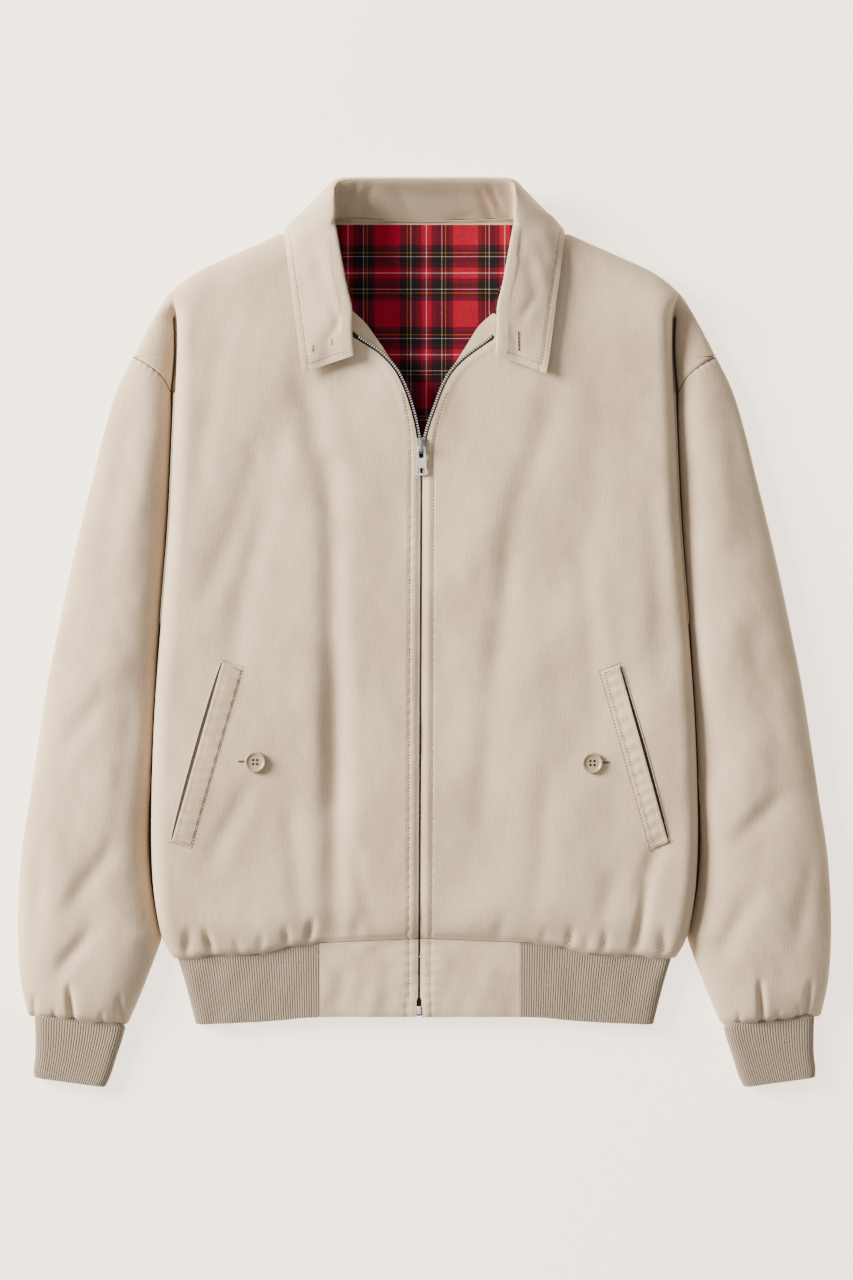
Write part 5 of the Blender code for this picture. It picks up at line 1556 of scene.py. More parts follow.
@dataclass
class HemBand:
    """A woven band beside the zip at the hem, folded double."""

    side: Side
    rows: int = 44
    columns: int = 56
    length: float = 71.0
    stitch_inset: float = 8.8
    box_recess: float = 1.3

    def height(self, x: Points, y: Points, share: Points, inner: Points) -> Points:
        """Height of the band's upper face, with its sunk stitch lines."""
        p = PATTERN
        gap_in, gap_low = x - inner, (1 - share) * self.length
        off = gap_in - self.stitch_inset
        sunk = bell(off, 1.4)
        pucker = 0.35 * np.sin(2 * math.pi * y / STITCH_WAVE) * bell(off, 5.0)
        waver = cloth_waver(x, y, SEED + 30 * self.side.value, ((50, 0.7), (22, 0.35)))
        rounded = 0.8 * bell(gap_in, 2.5) + 0.6 * bell(gap_low, 2.5)
        return p.band_height(share) - 0.7 * sunk + pucker - rounded + waver * smooth(share, 0.0, 0.1)

    def build(self, finishes: Finishes) -> Object:
        """Make the band in place of its CAD node."""
        p = PATTERN
        share, part = shares(self.rows, self.columns)
        middle_y = p.hem_y(0, share)
        recess = self.box_recess * smooth(middle_y, -327, -332)
        inner = p.closed_edge_x(self.side, middle_y) + recess
        x = inner + (BAND_END[self.side] - inner) * part
        y = p.hem_y(x, share)
        z = self.height(x, y, share, inner)
        y[0] -= p.seam_gap
        node = self.side.node("hem_band")
        piece = Cloth(f"{node}_cloth", np.stack([x, y, z], axis=2), p.band, -1,
                      self.side is Side.RIGHT).build(finishes.poplin, "shell_cotton", node)
        return piece

    def stitch_run(self) -> Points:
        """Path of the upright stitch line beside the zip."""
        p = PATTERN
        share = np.linspace(0.01, 0.99, 40)
        y = p.hem_y(0, share)
        inner = p.closed_edge_x(self.side, y)
        x = inner + self.stitch_inset
        return np.column_stack([self.side.value * x, y, self.height(x, y, share, inner) + 0.2])


# --------------------------------------------------------------------------- collar
@dataclass
class Collar:
    """The collar in one piece: up from the neck seam, over the fold and down outside."""

    sections: int = 150
    columns: int = 56
    stitch_inset: float = 6.5
    under_from: int = 8
    leaf_share: float = 0.62
    half_length: float = 410.0
    tip_lift: tuple[float, ...] = (7.5, 6.0, 4.6, 3.6, 2.6, 1.4)
    # Neck seam x, y; fold x, y, z; middle x, y, z; outer edge x, y and z, which is -1
    # where the edge lies on the front.
    stations: tuple[Row, ...] = (
        (68.5, 258.0, 64.5, 249.5, 36.0, 87.0, 242.0, 33.8, 109.0, 233.5, -1),
        (68.5, 268.0, 66.0, 268.0, 39.5, 89.0, 257.0, 36.4, 111.5, 246.0, -1),
        (71.5, 290.0, 66.0, 290.0, 42.0, 92.0, 279.0, 38.4, 114.5, 268.0, -1),
        (76.0, 313.0, 71.0, 313.0, 43.5, 96.0, 305.0, 39.6, 117.5, 292.0, -1),
        (80.5, 336.0, 76.5, 343.0, 44.5, 101.0, 338.0, 40.2, 121.5, 322.0, -1),
        (83.0, 352.0, 80.0, 362.0, 45.0, 106.0, 358.0, 39.4, 124.6, 346.0, -1),
        (83.5, 363.0, 81.5, 374.0, 45.0, 110.0, 368.0, 35.0, 126.5, 360.0, 21.0),
        (83.0, 371.0, 82.0, 386.0, 44.5, 112.0, 378.0, 27.0, 123.0, 368.5, 9.0),
        (81.0, 375.0, 82.0, 396.0, 44.0, 104.0, 387.5, 18.0, 108.0, 358.0, 0.0),
        (78.0, 377.0, 80.0, 403.0, 43.0, 92.0, 399.0, 18.0, 94.0, 353.0, 0.0),
        (64.0, 376.5, 72.0, 406.5, 42.0, 79.0, 408.5, 18.0, 76.0, 351.0, 0.0),
        (36.0, 375.5, 40.0, 407.5, 41.0, 42.0, 409.5, 18.0, 42.0, 350.0, 0.0),
        (0.0, 375.0, 0.0, 407.5, 40.5, 0.0, 409.5, 18.0, 0.0, 350.0, 0.0),
    )
    # Wrinkles of the stand's inner face beside its corners, in plan.
    stand_folds: tuple[Fold, ...] = folds(
        (-73, 385, -60, 402, 3.5, 1.8), (-60, 380, -48, 400, 5.0, 2.0), (-66, 374, -40, 377, 5.0, 1.2),
        (70, 380, 58, 401, 3.5, 2.0), (62, 374, 50, 398, 4.5, 1.6), (20, 373, 45, 379, 5.0, 0.9),
        (-10, 378, -25, 396, 7.0, 0.9),
    )
    leaf_folds: tuple[Fold, ...] = folds(
        (-88, 262, -72, 285, 5.0, 1.3), (-84, 300, -78, 276, 5.0, 0.9), (-100, 350, -90, 300, 9.0, 0.9),
        (98, 300, 88, 284, 6.0, 1.4), (92, 340, 104, 290, 9.0, 1.3), (80, 268, 84, 250, 5.0, 0.9),
        (104, 345, 112, 330, 6.0, 0.8),
    )

    def section(self, index: int) -> Points:
        """One section, from the neck seam over the fold to the outer edge."""
        p = PATTERN
        neck_x, neck_y, *high, edge_x, edge_y, edge_z = self.stations[index]
        fold, (mid_x, mid_y, mid_z) = np.array(high[:3]), high[3:]
        if edge_z < 0:
            neck_z = float(self.panel(neck_x, neck_y)) + 2 * p.seam_gap
            edge_z = float(self.panel(edge_x, edge_y)) + p.collar_cloth + 2 * p.seam_gap
            edge_z += self.tip_lift[index]
        else:
            lining_top = float(p.lift(neck_y)) + p.cloth + p.lining + 3 * p.seam_gap
            neck_z = lining_top + 9.0 * float(smooth(neck_x, 78, 84))
        inner = np.array((neck_x, neck_y, neck_z))
        run = [inner, inner + (fold - inner) * 0.55 + np.array((0, 0, -1.0)), fold, (mid_x, mid_y, mid_z)]
        if index >= self.under_from:
            run.append((edge_x + (mid_x - edge_x) * 0.7, edge_y + (mid_y - edge_y) * 0.7, 1.6))
        run.append((edge_x, edge_y, edge_z))
        return spread(curve_through(run, 24), self.columns)

    @staticmethod
    def panel(x: float, y: float) -> Points:
        """Height of the front below the collar, without its small waver."""
        p = PATTERN
        place = np.array([x]), np.array([y])
        depth = folds_depth(FRONT_FOLDS[Side.LEFT], *place)
        rise = p.outer_rise(*place)
        return (p.body_top(rise) - depth * rise)[0]

    def grid(self) -> Points:
        """The collar's outer face, sections from one front point round to the other."""
        half = [self.section(i) for i in range(len(self.stations))]
        other = [part * np.array((-1.0, 1.0, 1.0)) for part in reversed(half[:-1])]
        known = np.array(half + other)
        count = len(known)
        dense = np.stack([curve_through(known[:, c], 14) for c in range(self.columns)], axis=1)
        at = np.linspace(0, count - 1, len(dense))
        middle = known[:, self.columns // 2]
        travelled = np.interp(at, np.arange(count), along_run(middle))
        wanted = np.interp(np.linspace(0, travelled[-1], self.sections), travelled, np.arange(len(dense)))
        low = np.floor(wanted).astype(int).clip(0, len(dense) - 2)
        share = (wanted - low)[:, None, None]
        grid = dense[low] * (1 - share) + dense[low + 1] * share
        grid[:, :, 2] = np.maximum(grid[:, :, 2], 0.0)
        grid[:, :, 1] = np.minimum(grid[:, :, 1], self.half_length)
        return grid

    def relief(self, grid: Points) -> Points:
        """Move the outer face for the stitch lines, wrinkles and soft waver."""
        across = np.gradient(grid, axis=1)
        along = np.gradient(grid, axis=0)
        normal = np.cross(across, along)
        normal /= np.maximum(np.linalg.norm(normal, axis=2, keepdims=True), 1e-9)
        to_edge = self.run_to_edge(grid)
        ends = np.minimum(self.run_from(grid, 1), self.run_from(grid, -1))
        x, y = grid[:, :, 0], grid[:, :, 1]
        leaf = (to_edge < to_edge[:, :1] * self.leaf_share) & (y < 366)
        shown = smooth(grid[:, :, 2], 20, 26)
        sunk = bell(to_edge - self.stitch_inset, 1.4) + bell(ends - self.stitch_inset, 1.3) * leaf
        pucker = 0.4 * np.sin(2 * math.pi * (y + 0.4 * x) / 8.5) * bell(to_edge - self.stitch_inset, 5.0)
        wrinkle = np.where(leaf, folds_depth(self.leaf_folds, x, y), 0.0)
        wrinkle = wrinkle + np.where(~leaf & (y > 366), folds_depth(self.stand_folds, x, y), 0.0)
        waver = cloth_waver(x, y, SEED + 60, ((48, 0.55), (22, 0.28)))
        soft = smooth(to_edge, 0, 9) * smooth(ends, 0, 9)
        move = (-0.45 * sunk + pucker * leaf + waver * soft * leaf) * shown
        move = move - wrinkle * smooth(ends, 0, 5)
        return grid + normal * move[:, :, None]

    @staticmethod
    def run_to_edge(grid: Points) -> Points:
        """Distance along each section to its outer edge."""
        run = np.linalg.norm(np.diff(grid, axis=1), axis=2)[:, ::-1].cumsum(axis=1)[:, ::-1]
        return np.concatenate([run, np.zeros((len(grid), 1))], axis=1)

    @staticmethod
    def run_from(grid: Points, direction: int) -> Points:
        """Distance along each column from the first (1) or last (-1) section."""
        steps = np.linalg.norm(np.diff(grid[::direction], axis=0), axis=2)
        run = np.concatenate([np.zeros((1, grid.shape[1])), np.cumsum(steps, axis=0)])
        return run[::direction]

    def at_inset(self, gaps: Points, places: Points) -> list[float]:
        """Place of the stitch line on a run of places, from their growing distances."""
        return [float(np.interp(self.stitch_inset, gaps, axis)) for axis in places.T]

    def stitch_runs(self, grid: Points) -> list[Points]:
        """Paths of the topstitching along the leaves' outer and front edges."""
        to_edge = self.run_to_edge(grid)
        lift = np.array((0, 0, 0.15))
        runs = []
        for ends in (self.run_from(grid, 1), self.run_from(grid, -1)):
            outer = []
            for r in range(len(grid)):
                spot = self.at_inset(to_edge[r][::-1], grid[r][::-1])
                end = float(np.interp(self.stitch_inset, to_edge[r][::-1], ends[r][::-1]))
                if self.stitch_inset <= end and spot[1] < 362 and spot[2] > 16 and end < 150:
                    outer.append((end, *spot))
            outer.sort()
            runs.append(np.array(outer)[:, 1:] + lift)
            front = []
            columns = np.nonzero(to_edge[0] < self.leaf_share * to_edge[0][0])[0]
            for c in columns:
                order = np.argsort(ends[:, c])
                front.append(self.at_inset(ends[order, c], grid[order, c]))
            front = np.array(front)
            keep = along_run(front[::-1]) >= self.stitch_inset
            runs.append(front[::-1][keep] + lift)
        return runs

    def piping_run(self) -> Points:
        """Path of the pale piping along the neck seam."""
        p = PATTERN
        half = [(row[0], row[1] - 0.8) for row in self.stations[7:]]
        line = curve_through(half + [(-x, y) for x, y in half[-2::-1]], 8)
        z = p.lift(line[:, 1]) + p.cloth + p.lining + 3 * p.seam_gap + 0.5
        return np.column_stack([line, z])

    @staticmethod
    def mark(grid: Points, start: tuple[float, float], stop: tuple[float, float], count: int = 24) -> Points:
        """Path of a worked mark that lies on a leaf's upper face."""
        plan = np.linspace(start, stop, count)
        high = grid.reshape(-1, 3)
        high = high[high[:, 2] > 26]
        gaps = ((plan[:, None, :] - high[None, :, :2]) ** 2).sum(axis=2)
        nearest = np.argsort(gaps, axis=1)[:, :4]
        weight = 1.0 / (np.take_along_axis(gaps, nearest, axis=1) + 0.05)
        z = (high[nearest, 2] * weight).sum(axis=1) / weight.sum(axis=1)
        return np.column_stack([plan, z + 0.15])

    def build(self, finishes: Finishes) -> tuple[Object, Points]:
        """Make the collar; give it and the grid that its stitches follow."""
        grid = self.relief(self.grid())
        grid[:, :, 2] = np.maximum(grid[:, :, 2], 0.0)
        grid[:, :, 1] = np.minimum(grid[:, :, 1], self.half_length + 1.0)
        piece = Cloth("collar_cloth", grid, PATTERN.collar_cloth).build(
            finishes.poplin, "shell_cotton", "collar")
        return piece, grid


# -------------------------------------------------------------------- inside strips
@dataclass
class InsideStrip:
    """A strip that shows inside the open neck: a facing or the front's own lining."""

    side: Side
    stem: str
    line: tuple[Row, ...]
    depth: float
    sag: float
    flat: tuple[float, float]
    area: float
    rows: int = 40
    columns: int = 16

    def build(self, material: Material, slot: str) -> Object:
        """Make the strip in place of its CAD node."""
        table = spread(curve_through(self.line, 8), self.rows)
        share = np.linspace(0.0, 1.0, self.columns)[None, :]
        x = table[:, :1] + (table[:, 2:3] - table[:, :1]) * share
        y = table[:, 1:2] + (table[:, 3:4] - table[:, 1:2]) * share
        over = np.maximum(x, SURFACE.edge_x(self.side, y))
        p = PATTERN
        rise = p.outer_rise(over, y)
        top = p.body_top(rise) - folds_depth(FRONT_FOLDS[self.side], over, y) * rise
        z = top - self.depth - self.sag * (1 - share) ** 2
        z = z + 0.3 * cloth_waver(x, y, SEED + 80, ((30, 0.6),)) * (1 - share)
        node = self.side.node(self.stem)
        piece = Cloth(f"{node}_cloth", np.stack([x, y, z], axis=2), p.lining, -1,
                      self.side is Side.RIGHT).build(material, slot, node)
        return piece


@dataclass
class ZipTape:
    """A zip tape under the edge of a front and its hem band, with the path of its teeth."""

    side: Side
    rows: int = 230
    ys: tuple[float, ...] = (150, 132, 80, 0, -80, -160, -220, -246, -262, -276, -300, -342)

    def middle(self) -> Points:
        """The front's edge line that the tape follows, from the neck down to the hem."""
        table = [row for row in reversed(FRONT_EDGE[self.side][:13]) if row[1] > 150]
        high = [(x + self.side.value * float(PATTERN.zip_x(y)), y) for x, y in table]
        low = [(float(PATTERN.closed_edge_x(self.side, y)), y) for y in self.ys]
        return spread(curve_through(high + low, 8), self.rows)

    def frame(self) -> tuple[Points, Points, Points, Points]:
        """Middle line, outward direction, reach to the inner edge and height of the tape."""
        p = PATTERN
        line = self.middle()
        along = np.gradient(line, axis=0)
        along /= np.linalg.norm(along, axis=1, keepdims=True)
        outward = np.column_stack([-along[:, 1], along[:, 0]])
        clear = line[:, 0] - self.side.value * p.zip_x(line[:, 1])
        inner = np.minimum(3.4, clear - 0.3)
        share = np.clip((p.hem_top(0) - line[:, 1]) / (p.hem_top(0) - p.hem_bottom(0)), 0.0, 1.0)
        hem = smooth(line[:, 1], -250, -268)
        place = line[:, 0] + 1.0, np.maximum(line[:, 1], -270)
        rise = p.outer_rise(*place)
        hem_gap = place[1] - p.hem_top(place[0])
        top = p.body_top(rise * p.hem_gather(hem_gap))
        top = top - folds_depth(FRONT_FOLDS[self.side], *place) * rise * smooth(hem_gap, -2, 10)
        top = top - 1.2 * (1 - smooth(line[:, 1], 140, 170)) * 0.96
        height = (top - p.cloth) * (1 - hem) + (p.band_height(share) - p.band) * hem
        return line, outward, inner, height - p.seam_gap - 0.4 * (1 - hem)

    def build(self, finishes: Finishes) -> tuple[Object, Points, Points]:
        """Make the tape; give it, its open teeth path and its closed chain path."""
        line, outward, inner, height = self.frame()
        offsets = np.array((-1.0, -0.4, 0.3, 2.0, 5.0, 8.0))
        grid = np.empty((len(line), len(offsets), 3))
        for c, offset in enumerate(offsets):
            reach = inner * offset if offset < 0 else np.full_like(inner, offset)
            grid[:, c, :2] = line + outward * reach[:, None]
            grid[:, c, 2] = height - (0.5 if offset > 2 else 0.0)
        node = self.side.node("zip_tape")
        piece = Cloth(f"{node}_woven", grid, PATTERN.tape, -1, self.side is Side.RIGHT).build(
            finishes.tape, "zip_tape", node)
        teeth = np.column_stack([line - outward * (inner - 0.7)[:, None], height + 0.35])
        teeth[:, 0] *= self.side.value
        opened = teeth[(line[:, 1] > 172) & (line[:, 1] < 266)]
        return piece, opened, teeth


# ------------------------------------------------------------------------ hard trim
@dataclass(frozen=True)
class HardTrim:
    """A metal part that keeps its CAD shape and gets its edges broken."""

    node: str
    body: str
    edge_radius: float = 0.22

    def build(self, material: Material) -> Object:
        """Copy the node's shape, merge it and round its edges."""
        source = bpy.data.objects[self.node]
        mesh = source.data.copy()
        mesh.name = f"{self.node}_cast"
        piece = place_object(mesh.name, mesh)
        shape = bmesh.new()
        shape.from_mesh(mesh)
        bmesh.ops.remove_doubles(shape, verts=shape.verts, dist=1e-6)
        bmesh.ops.dissolve_limit(shape, angle_limit=math.radians(2), verts=shape.verts, edges=shape.edges)
        shape.to_mesh(mesh)
        shape.free()
        mesh.materials.clear()
        mesh.materials.append(material)
        bevel = piece.modifiers.new("Edge", "BEVEL")
        bevel.width = self.edge_radius * MM
        bevel.segments = 3
        bevel.limit_method = "ANGLE"
        bevel.angle_limit = math.radians(35)
        bake(piece, 40.0)
        return fit(piece, self.body, nodes=(self.node,))


@dataclass
class PocketButton:
    """A four-hole pocket button: dished face, raised rim, and painted shade down in its four holes."""

    side: Side
    centre: dict[Side, tuple[float, float]] = field(default_factory=lambda: {
        Side.RIGHT: (152, -115), Side.LEFT: (151, -116)})
    steps: int = 72
    hole_radius: float = 1.15
    hole_spacing: float = 3.6
    profile: tuple[tuple[float, float], ...] = (
        (8.6, 0.0), (9.2, 0.25), (9.5, 0.9), (9.5, 2.3), (9.3, 2.9), (8.9, 3.25), (8.3, 3.4), (7.8, 3.3),
        (7.2, 2.95), (6.6, 2.45), (6.0, 2.2), (5.0, 2.1),
    )

    def base(self) -> Points:
        """Where the button sits on its front, in real X."""
        x, y = self.centre[self.side]
        z = float(SURFACE.body(self.side, np.array([x]), np.array([y]))[0]) + 2 * PATTERN.seam_gap
        return np.array((x, y, z))

    def buttonhole(self) -> Points:
        """Path of the worked buttonhole end that shows beside the button, outwards."""
        x, y = self.centre[self.side]
        run = np.linspace(x + 9.9, x + 15.0, 12)
        across = np.full(12, y + 0.4)
        return SURFACE.laid(self.side, run, across, 0.15)

    def build(self, finishes: Finishes) -> tuple[Object, list[Points]]:
        """Make the button; give it and the runs of painted shade down in its holes."""
        place = self.base()
        place[0] *= self.side.value
        angle = np.linspace(0, 2 * math.pi, self.steps, endpoint=False)
        rings = [np.column_stack([r * np.cos(angle), r * np.sin(angle), np.full(self.steps, z)])
                 for r, z in self.profile]
        shape = bmesh.new()
        loops = [[shape.verts.new((place + spot) * MM) for spot in ring] for ring in rings]
        for low, high in zip(loops, loops[1:]):
            for k in range(self.steps):
                shape.faces.new((low[k], low[(k + 1) % self.steps], high[(k + 1) % self.steps], high[k]))
        shape.faces.new(list(reversed(loops[0])))
        shape.faces.new(loops[-1])
        mesh = bpy.data.meshes.new("button")
        shape.to_mesh(mesh)
        shape.free()
        mesh.materials.append(finishes.resin)
        node = self.side.node("button")
        piece = place_object(f"{node}_cast", mesh)
        drills = [self.drill(piece, place, hole) for hole in range(4)]
        bake(piece, 35.0)
        for drill in drills:
            bpy.data.objects.remove(drill, do_unlink=True)
        fit(piece, nodes=(node,))
        half = self.hole_spacing / 2
        # Painted shade: short near-black runs that stand for the shade down in each hole.
        threads = []
        for dx, dy in ((-half, -half), (-half, half), (half, -half), (half, half)):
            threads.append(place + np.array([(dx, dy, 1.0), (dx, dy, 1.7)]))
        return piece, threads

    def drill(self, piece: Object, place: Points, hole: int) -> Object:
        """Cut one thread hole through the button."""
        turn = math.radians(45 + 90 * hole)
        centre = np.array((math.cos(turn), math.sin(turn))) * self.hole_spacing / math.sqrt(2)
        angle = np.linspace(0, 2 * math.pi, 16, endpoint=False)
        ring = np.column_stack([centre[0] + self.hole_radius * np.cos(angle),
                                centre[1] + self.hole_radius * np.sin(angle)])
        low, high = (np.column_stack([ring, np.full(16, z)]) + place for z in (-1.0, 5.0))
        faces = [tuple(reversed(range(16))), tuple(range(16, 32))]
        faces += [(k, (k + 1) % 16, 16 + (k + 1) % 16, 16 + k) for k in range(16)]
        tool = mesh_object(f"{piece.name}_hole_{hole}", np.vstack([low, high]), faces, None)
        cut = piece.modifiers.new(tool.name, "BOOLEAN")
        cut.operation = "DIFFERENCE"
        cut.object = tool
        return tool


@dataclass
class PocketWelt:
    """A slanted pocket welt: the front's own surface moved out, with painted shade in its opening."""

    side: Side
    rows: int = 90
    columns: int = 14
    width: float = 16.5
    length: float = 166.0
    mouth_width: float = 3.0
    corners: dict[Side, tuple[Row, ...]] = field(default_factory=lambda: {
        Side.RIGHT: ((181.5, -25), (165, -31), (227, -186), (211, -191)),
        Side.LEFT: ((175, -28), (159, -34), (219, -187), (204, -194))})

    def place(self, along: Points, across: Points) -> tuple[Points, Points]:
        """Plan place on the welt: along from its top, across from its inner edge."""
        c = np.array(self.corners[self.side], dtype=float)
        outer = c[0] + (c[2] - c[0]) * along[..., None]
        inner = c[1] + (c[3] - c[1]) * along[..., None]
        spot = inner + (outer - inner) * across[..., None]
        return spot[..., 0], spot[..., 1]

    def build(self, finishes: Finishes) -> tuple[Object, list[Points]]:
        """Make the welt; give it and the stitch paths round it."""
        along, across = shares(self.rows, self.columns)
        x, y = self.place(along, across)
        puff = 0.45 * np.sin(2 * math.pi * along * 15 + 2.0 * np.sin(9 * along)) * bell(across - 0.4, 0.42)
        inner_edge, outer_edge = across * self.width, (1 - across) * self.width
        ends = np.minimum(along, 1 - along) * self.length
        z = SURFACE.body(self.side, x, y) + 0.4 + (PATTERN.welt + 0.3) * smooth(inner_edge, -3, 12) + puff
        z = z - 0.6 * bell(ends, 1.2) + 0.5 * bell(outer_edge - 1.6, 1.5)
        node = self.side.node("pocket_welt")
        piece = Cloth(f"{node}_cloth", np.stack([x, y, z], axis=2), PATTERN.welt, -1,
                      self.side is Side.RIGHT).build(finishes.poplin, "shell_cotton", node)
        f"{self.side.node('front')}_cloth"
        self.side.node("pocket_mouth")
        return piece, [self.stitch_run(pad) for pad in (1.5, -1.7)]

    def stitch_run(self, pad: float) -> Points:
        """Path of a stitch line round the welt, pad millimetres outside its inner edge and ends."""
        over, beyond = pad / self.width, pad / self.length
        far = 1 + abs(over)
        path = [(-beyond, far), (-beyond, -over), (1 + beyond, -over), (1 + beyond, far)]
        dense = np.vstack([np.linspace(a, b, 80) for a, b in zip(path, path[1:])])
        return SURFACE.laid(self.side, *self.place(*dense.T), 0.15 if pad > 0 else 0.6 + PATTERN.welt)

    def gape(self, share: Points) -> Points:
        """Width of the open mouth at a share of the way along it."""
        return self.mouth_width * np.sin(np.pi * share) ** 0.35

    def mouth(self, material: Material) -> Object:
        """Make the pocket mouth beside the welt's outer long edge: a thin sheet of painted shade."""
        along = np.linspace(0.01, 0.99, self.rows)[:, None] * np.ones((1, 3))
        width = self.gape(np.linspace(0.0, 1.0, self.rows)) / self.width
        across = 1.004 + width[:, None] * np.array((0.0, 0.5, 1.0))[None, :]
        x, y = self.place(along, across)
        z = SURFACE.body(self.side, x, y) + 0.5
        return Cloth(self.side.node("pocket_mouth"), np.stack([x, y, z], axis=2), 0.1, -1,
                     self.side is Side.RIGHT).build(material, "shell_cotton")

    def lip_run(self) -> Points:
        """Path of the pale folded lip on the far side of the pocket mouth."""
        along = np.linspace(0.0, 1.0, self.rows)
        across = 1.0 + (0.4 + self.gape(along)) / self.width
        return SURFACE.laid(self.side, *self.place(along, across), 0.35)


# ---------------------------------------------------------------------------- studio
@dataclass(frozen=True)
class Studio:
    """Pale floor, soft light from the upper left and the camera straight above."""

    floor_size: float = 6.0
    floor_drop: float = 0.0004
    floor_glow: float = 2.5
    camera_height: float = 2.725
    camera_x: float = 0.0018
    camera_y: float = -0.0054
    view_long_side: float = 1.152
    view_plane: float = 0.025
    sensor: float = 36.0
    key_energy: float = 860.0
    key_size: float = 1.9
    key_place: tuple[float, float, float] = (-3.3, 1.35, 1.62)
    sky: float = 0.74

    def floor(self) -> None:
        """Lay the pale floor."""
        half = self.floor_size / 2 / MM
        drop = -self.floor_drop / MM
        material = PlainFinish("lit_acrylic_floor", "#BDB9B4", 0.9, grain_mm=6.0, grain=0.004, bump=0.01,
                               specular=0.1).build()
        shader = material.node_tree.nodes["Principled BSDF"]
        shader.inputs["Emission Color"].default_value = (1.0, 0.84, 0.67, 1.0)
        shader.inputs["Emission Strength"].default_value = self.floor_glow
        corners = [(x * half, y * half, drop) for x, y in ((-1, -1), (1, -1), (1, 1), (-1, 1))]
        floor = mesh_object("studio_floor", np.array(corners), [(0, 1, 2, 3)], material)

    def lights(self) -> None:
        """Set the soft key light and the even fill."""
        world = bpy.data.worlds.new("studio_fill")
        world.use_nodes = True
        sky = world.node_tree.nodes["Background"]
        sky.inputs["Color"].default_value = (1.0, 0.97, 0.93, 1.0)
        sky.inputs["Strength"].default_value = self.sky
        bpy.context.scene.world = world
        lamp = bpy.data.lights.new("studio_key", "AREA")
        lamp.shape = "DISK"
        lamp.size = self.key_size
        lamp.energy = self.key_energy
        lamp.color = (1.0, 0.93, 0.84)
        key = place_object("studio_key", lamp)
        key.location = self.key_place
        key.rotation_euler = (-Vector(self.key_place)).to_track_quat("-Z", "Y").to_euler()

    def camera(self) -> None:
        """Set the camera straight above the jacket."""
        data = bpy.data.cameras.new("overhead")
        data.sensor_width = self.sensor
        distance = self.camera_height - self.view_plane
        data.lens = self.sensor * distance / self.view_long_side
        camera = place_object("overhead", data)
        camera.location = (self.camera_x, self.camera_y, self.camera_height)
        bpy.context.scene.camera = camera

    def build(self) -> None:
        """Set up the whole studio."""
        self.floor()
        self.lights()
        self.camera()


# --------------------------------------------------------------------------- jacket
FACING_LINE: dict[Side, tuple[Row, ...]] = {
    Side.RIGHT: ((64.5, 291, 76, 284), (53, 280, 70, 268), (41.5, 264, 58, 252), (30, 246.6, 42, 238),
                 (21, 233, 32, 224), (16, 224, 26, 217)),
    Side.LEFT: ((61.7, 289, 76, 282), (49, 277.6, 70, 266), (38.7, 261.5, 56, 250), (27.3, 243.2, 40, 235),
                (21.5, 234, 33, 226), (17, 226, 28, 219)),
}
LINING_LINE: tuple[Row, ...] = (
    (50, 271, 66, 260), (54, 282, 72, 272), (60, 293, 80, 284), (66, 307, 86, 300), (71, 321, 90, 316),
)


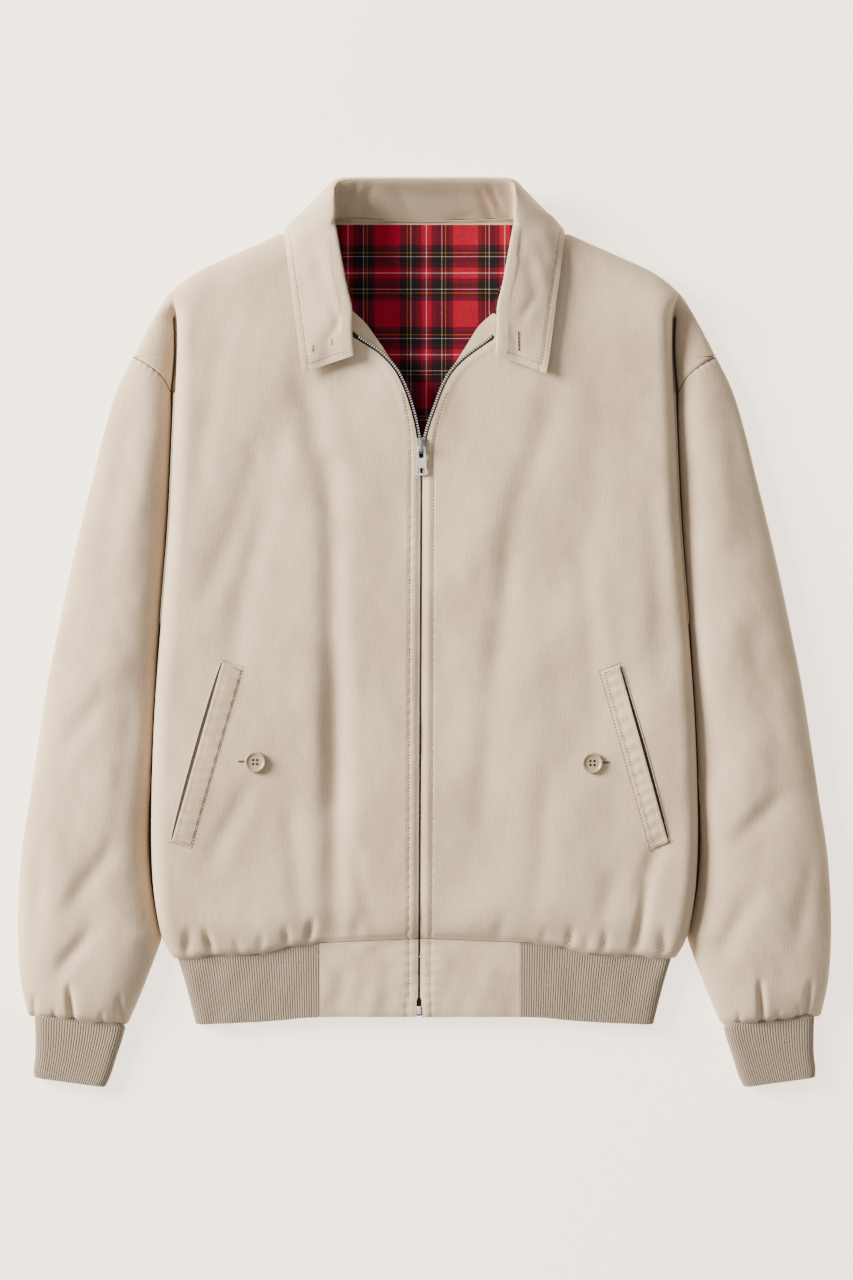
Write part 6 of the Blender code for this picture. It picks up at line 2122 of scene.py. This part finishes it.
@dataclass
class Jacket:
    """The whole jacket, built panel by panel and then trimmed."""

    finishes: Finishes
    stitches: ThreadRuns = field(default_factory=lambda: ThreadRuns("stitching", radius=0.4))
    # Worked buttonholes and collar marks, in the thread with painted shade.
    worked: ThreadRuns = field(default_factory=lambda: ThreadRuns(
        "worked_buttonholes", pitch=0.75, stitch=2.4, radius=0.34, turned=True))
    # Painted shade: dark runs that stand for the shade inside the buttonhole slits.
    slits: ThreadRuns = field(default_factory=lambda: ThreadRuns(
        "buttonhole_slits", pitch=0.9, stitch=1.4, radius=0.36))
    # Painted shade: a dark line that stands for the shade in the groove of each armhole seam.
    felled: ThreadRuns = field(default_factory=lambda: ThreadRuns(
        "armhole_seams", pitch=1.0, stitch=2.6, radius=0.42))
    # Painted shade: a dark cord that stands for the shade down in the gap between body and sleeve.
    deep: ThreadRuns = field(default_factory=lambda: ThreadRuns(
        "side_gap_seams", pitch=1.8, stitch=5.0, radius=1.3))

    def build_cloth(self) -> None:
        """Build the panels, sleeves, lining, facings and collar."""
        BackPanel().build(self.finishes)
        BackLining().build(self.finishes)
        for side in Side:
            FrontPanel(side).build(self.finishes)
            Sleeve(side).build(self.finishes)
            HemBand(side).build(self.finishes)
            InsideStrip(side, "facing", FACING_LINE[side], 4.0, 1.2, (0.022, 0.085), 0.0014).build(
                self.finishes.poplin, "shell_cotton")
            InsideStrip(side, "lining_front", LINING_LINE, 8.0, 0.0, (0.023, 0.062), 0.0011).build(
                self.finishes.tartan, "tartan_lining")
        collar = Collar()
        _, grid = collar.build(self.finishes)
        for run in collar.stitch_runs(grid):
            self.stitches.add(run)
        piping = ThreadRuns("neck_piping", pitch=0.9, stitch=2.0, radius=0.6)
        piping.add(collar.piping_run())
        piping.build(self.finishes.poplin, "shell_cotton")
        for start, stop in (((84.0, 271.0), (84.6, 254.0)), ((-100.0, 258.5), (-100.3, 253.0)),
                            ((-83.0, 264.5), (-83.4, 259.5))):
            self.worked.add(collar.mark(grid, start, stop))
        self.slits.add(collar.mark(grid, (84.0, 270.0), (84.5, 255.0)) + np.array((0.0, 0.0, 0.3)))

    def build_knit(self) -> None:
        """Build the hem rib and the cuffs."""
        tree = knit_tree()
        HemRib().build(tree, self.finishes)
        for side in Side:
            Cuff(side).build(tree, self.finishes)

    def build_trim(self) -> None:
        """Build the zip, the pockets and the buttons."""
        open_teeth = ToothRuns("zip_teeth_open", pitch=2.3, tooth=(1.05, 1.9, 1.4))
        chain = ToothRuns("zip_chain", tooth=(0.95, 1.6, 1.2))
        # The runs in the button holes are painted shade.
        threads = ThreadRuns("button_thread", pitch=0.4, stitch=1.6, radius=0.85)
        lips = ThreadRuns("pocket_lips", pitch=1.2, stitch=2.6, radius=0.5)
        for side in Side:
            _, opened, closed = ZipTape(side).build(self.finishes)
            open_teeth.add(opened)
            chain.add(closed[(closed[:, 1] < 146) & (closed[:, 1] > -330)] - np.array((0.0, 0.0, 2.0)))
            welt = PocketWelt(side)
            # The pocket mouth is a thin sheet of painted shade.
            welt.mouth(self.finishes.shadow)
            for run in welt.build(self.finishes)[1]:
                self.stitches.add(run)
            lips.add(welt.lip_run())
            button = PocketButton(side)
            self.worked.add(button.buttonhole())
            self.slits.add(button.buttonhole() + np.array((0.0, 0.0, 0.3)))
            for tie in button.build(self.finishes)[1]:
                threads.add(tie)
        open_teeth.build(self.finishes.nickel, "zip_metal")
        chain.build(self.finishes.nickel, "zip_metal")
        threads.build(self.finishes.tie, "button_resin")
        lips.build(self.finishes.poplin, "shell_cotton")
        for node, body, metal in (("zip_pull", PULL_BODY, self.finishes.nickel),
                                  ("zip_slider", BODY, self.finishes.dull_nickel),
                                  ("zip_box", BODY, self.finishes.nickel)):
            HardTrim(node, body).build(metal)

    def build_stitching(self) -> None:
        """Sew the placket lines and the hem bands, lay the painted shade runs in the armhole seams and in the
        gaps beside the sleeves, and make each set of runs as one mesh.
        """
        for side in Side:
            self.stitches.add(SURFACE.placket_run(side))
            self.stitches.add(HemBand(side).stitch_run())
            self.felled.add(SURFACE.armhole_run(side))
            self.deep.add(SURFACE.side_run(side))
        self.stitches.build(self.finishes.thread, "shell_cotton")
        self.worked.build(self.finishes.dark_thread, "shell_cotton")
        # The cord in the gap is painted shade, in the tape's dark colour.
        self.deep.build(self.finishes.tape, "shell_cotton")
        # The slits and the armhole lines are painted shade, in the shade material.
        for dark in (self.slits, self.felled):
            dark.build(self.finishes.shadow, "shell_cotton")


def main() -> None:
    """Build the studio and the jacket."""
    logging.basicConfig(level=logging.INFO, format="%(name)s: %(message)s")
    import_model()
    Studio().build()
    jacket = Jacket(Finishes())
    jacket.build_cloth()
    jacket.build_knit()
    jacket.build_trim()
    jacket.build_stitching()


if __name__ == "__main__":
    main()
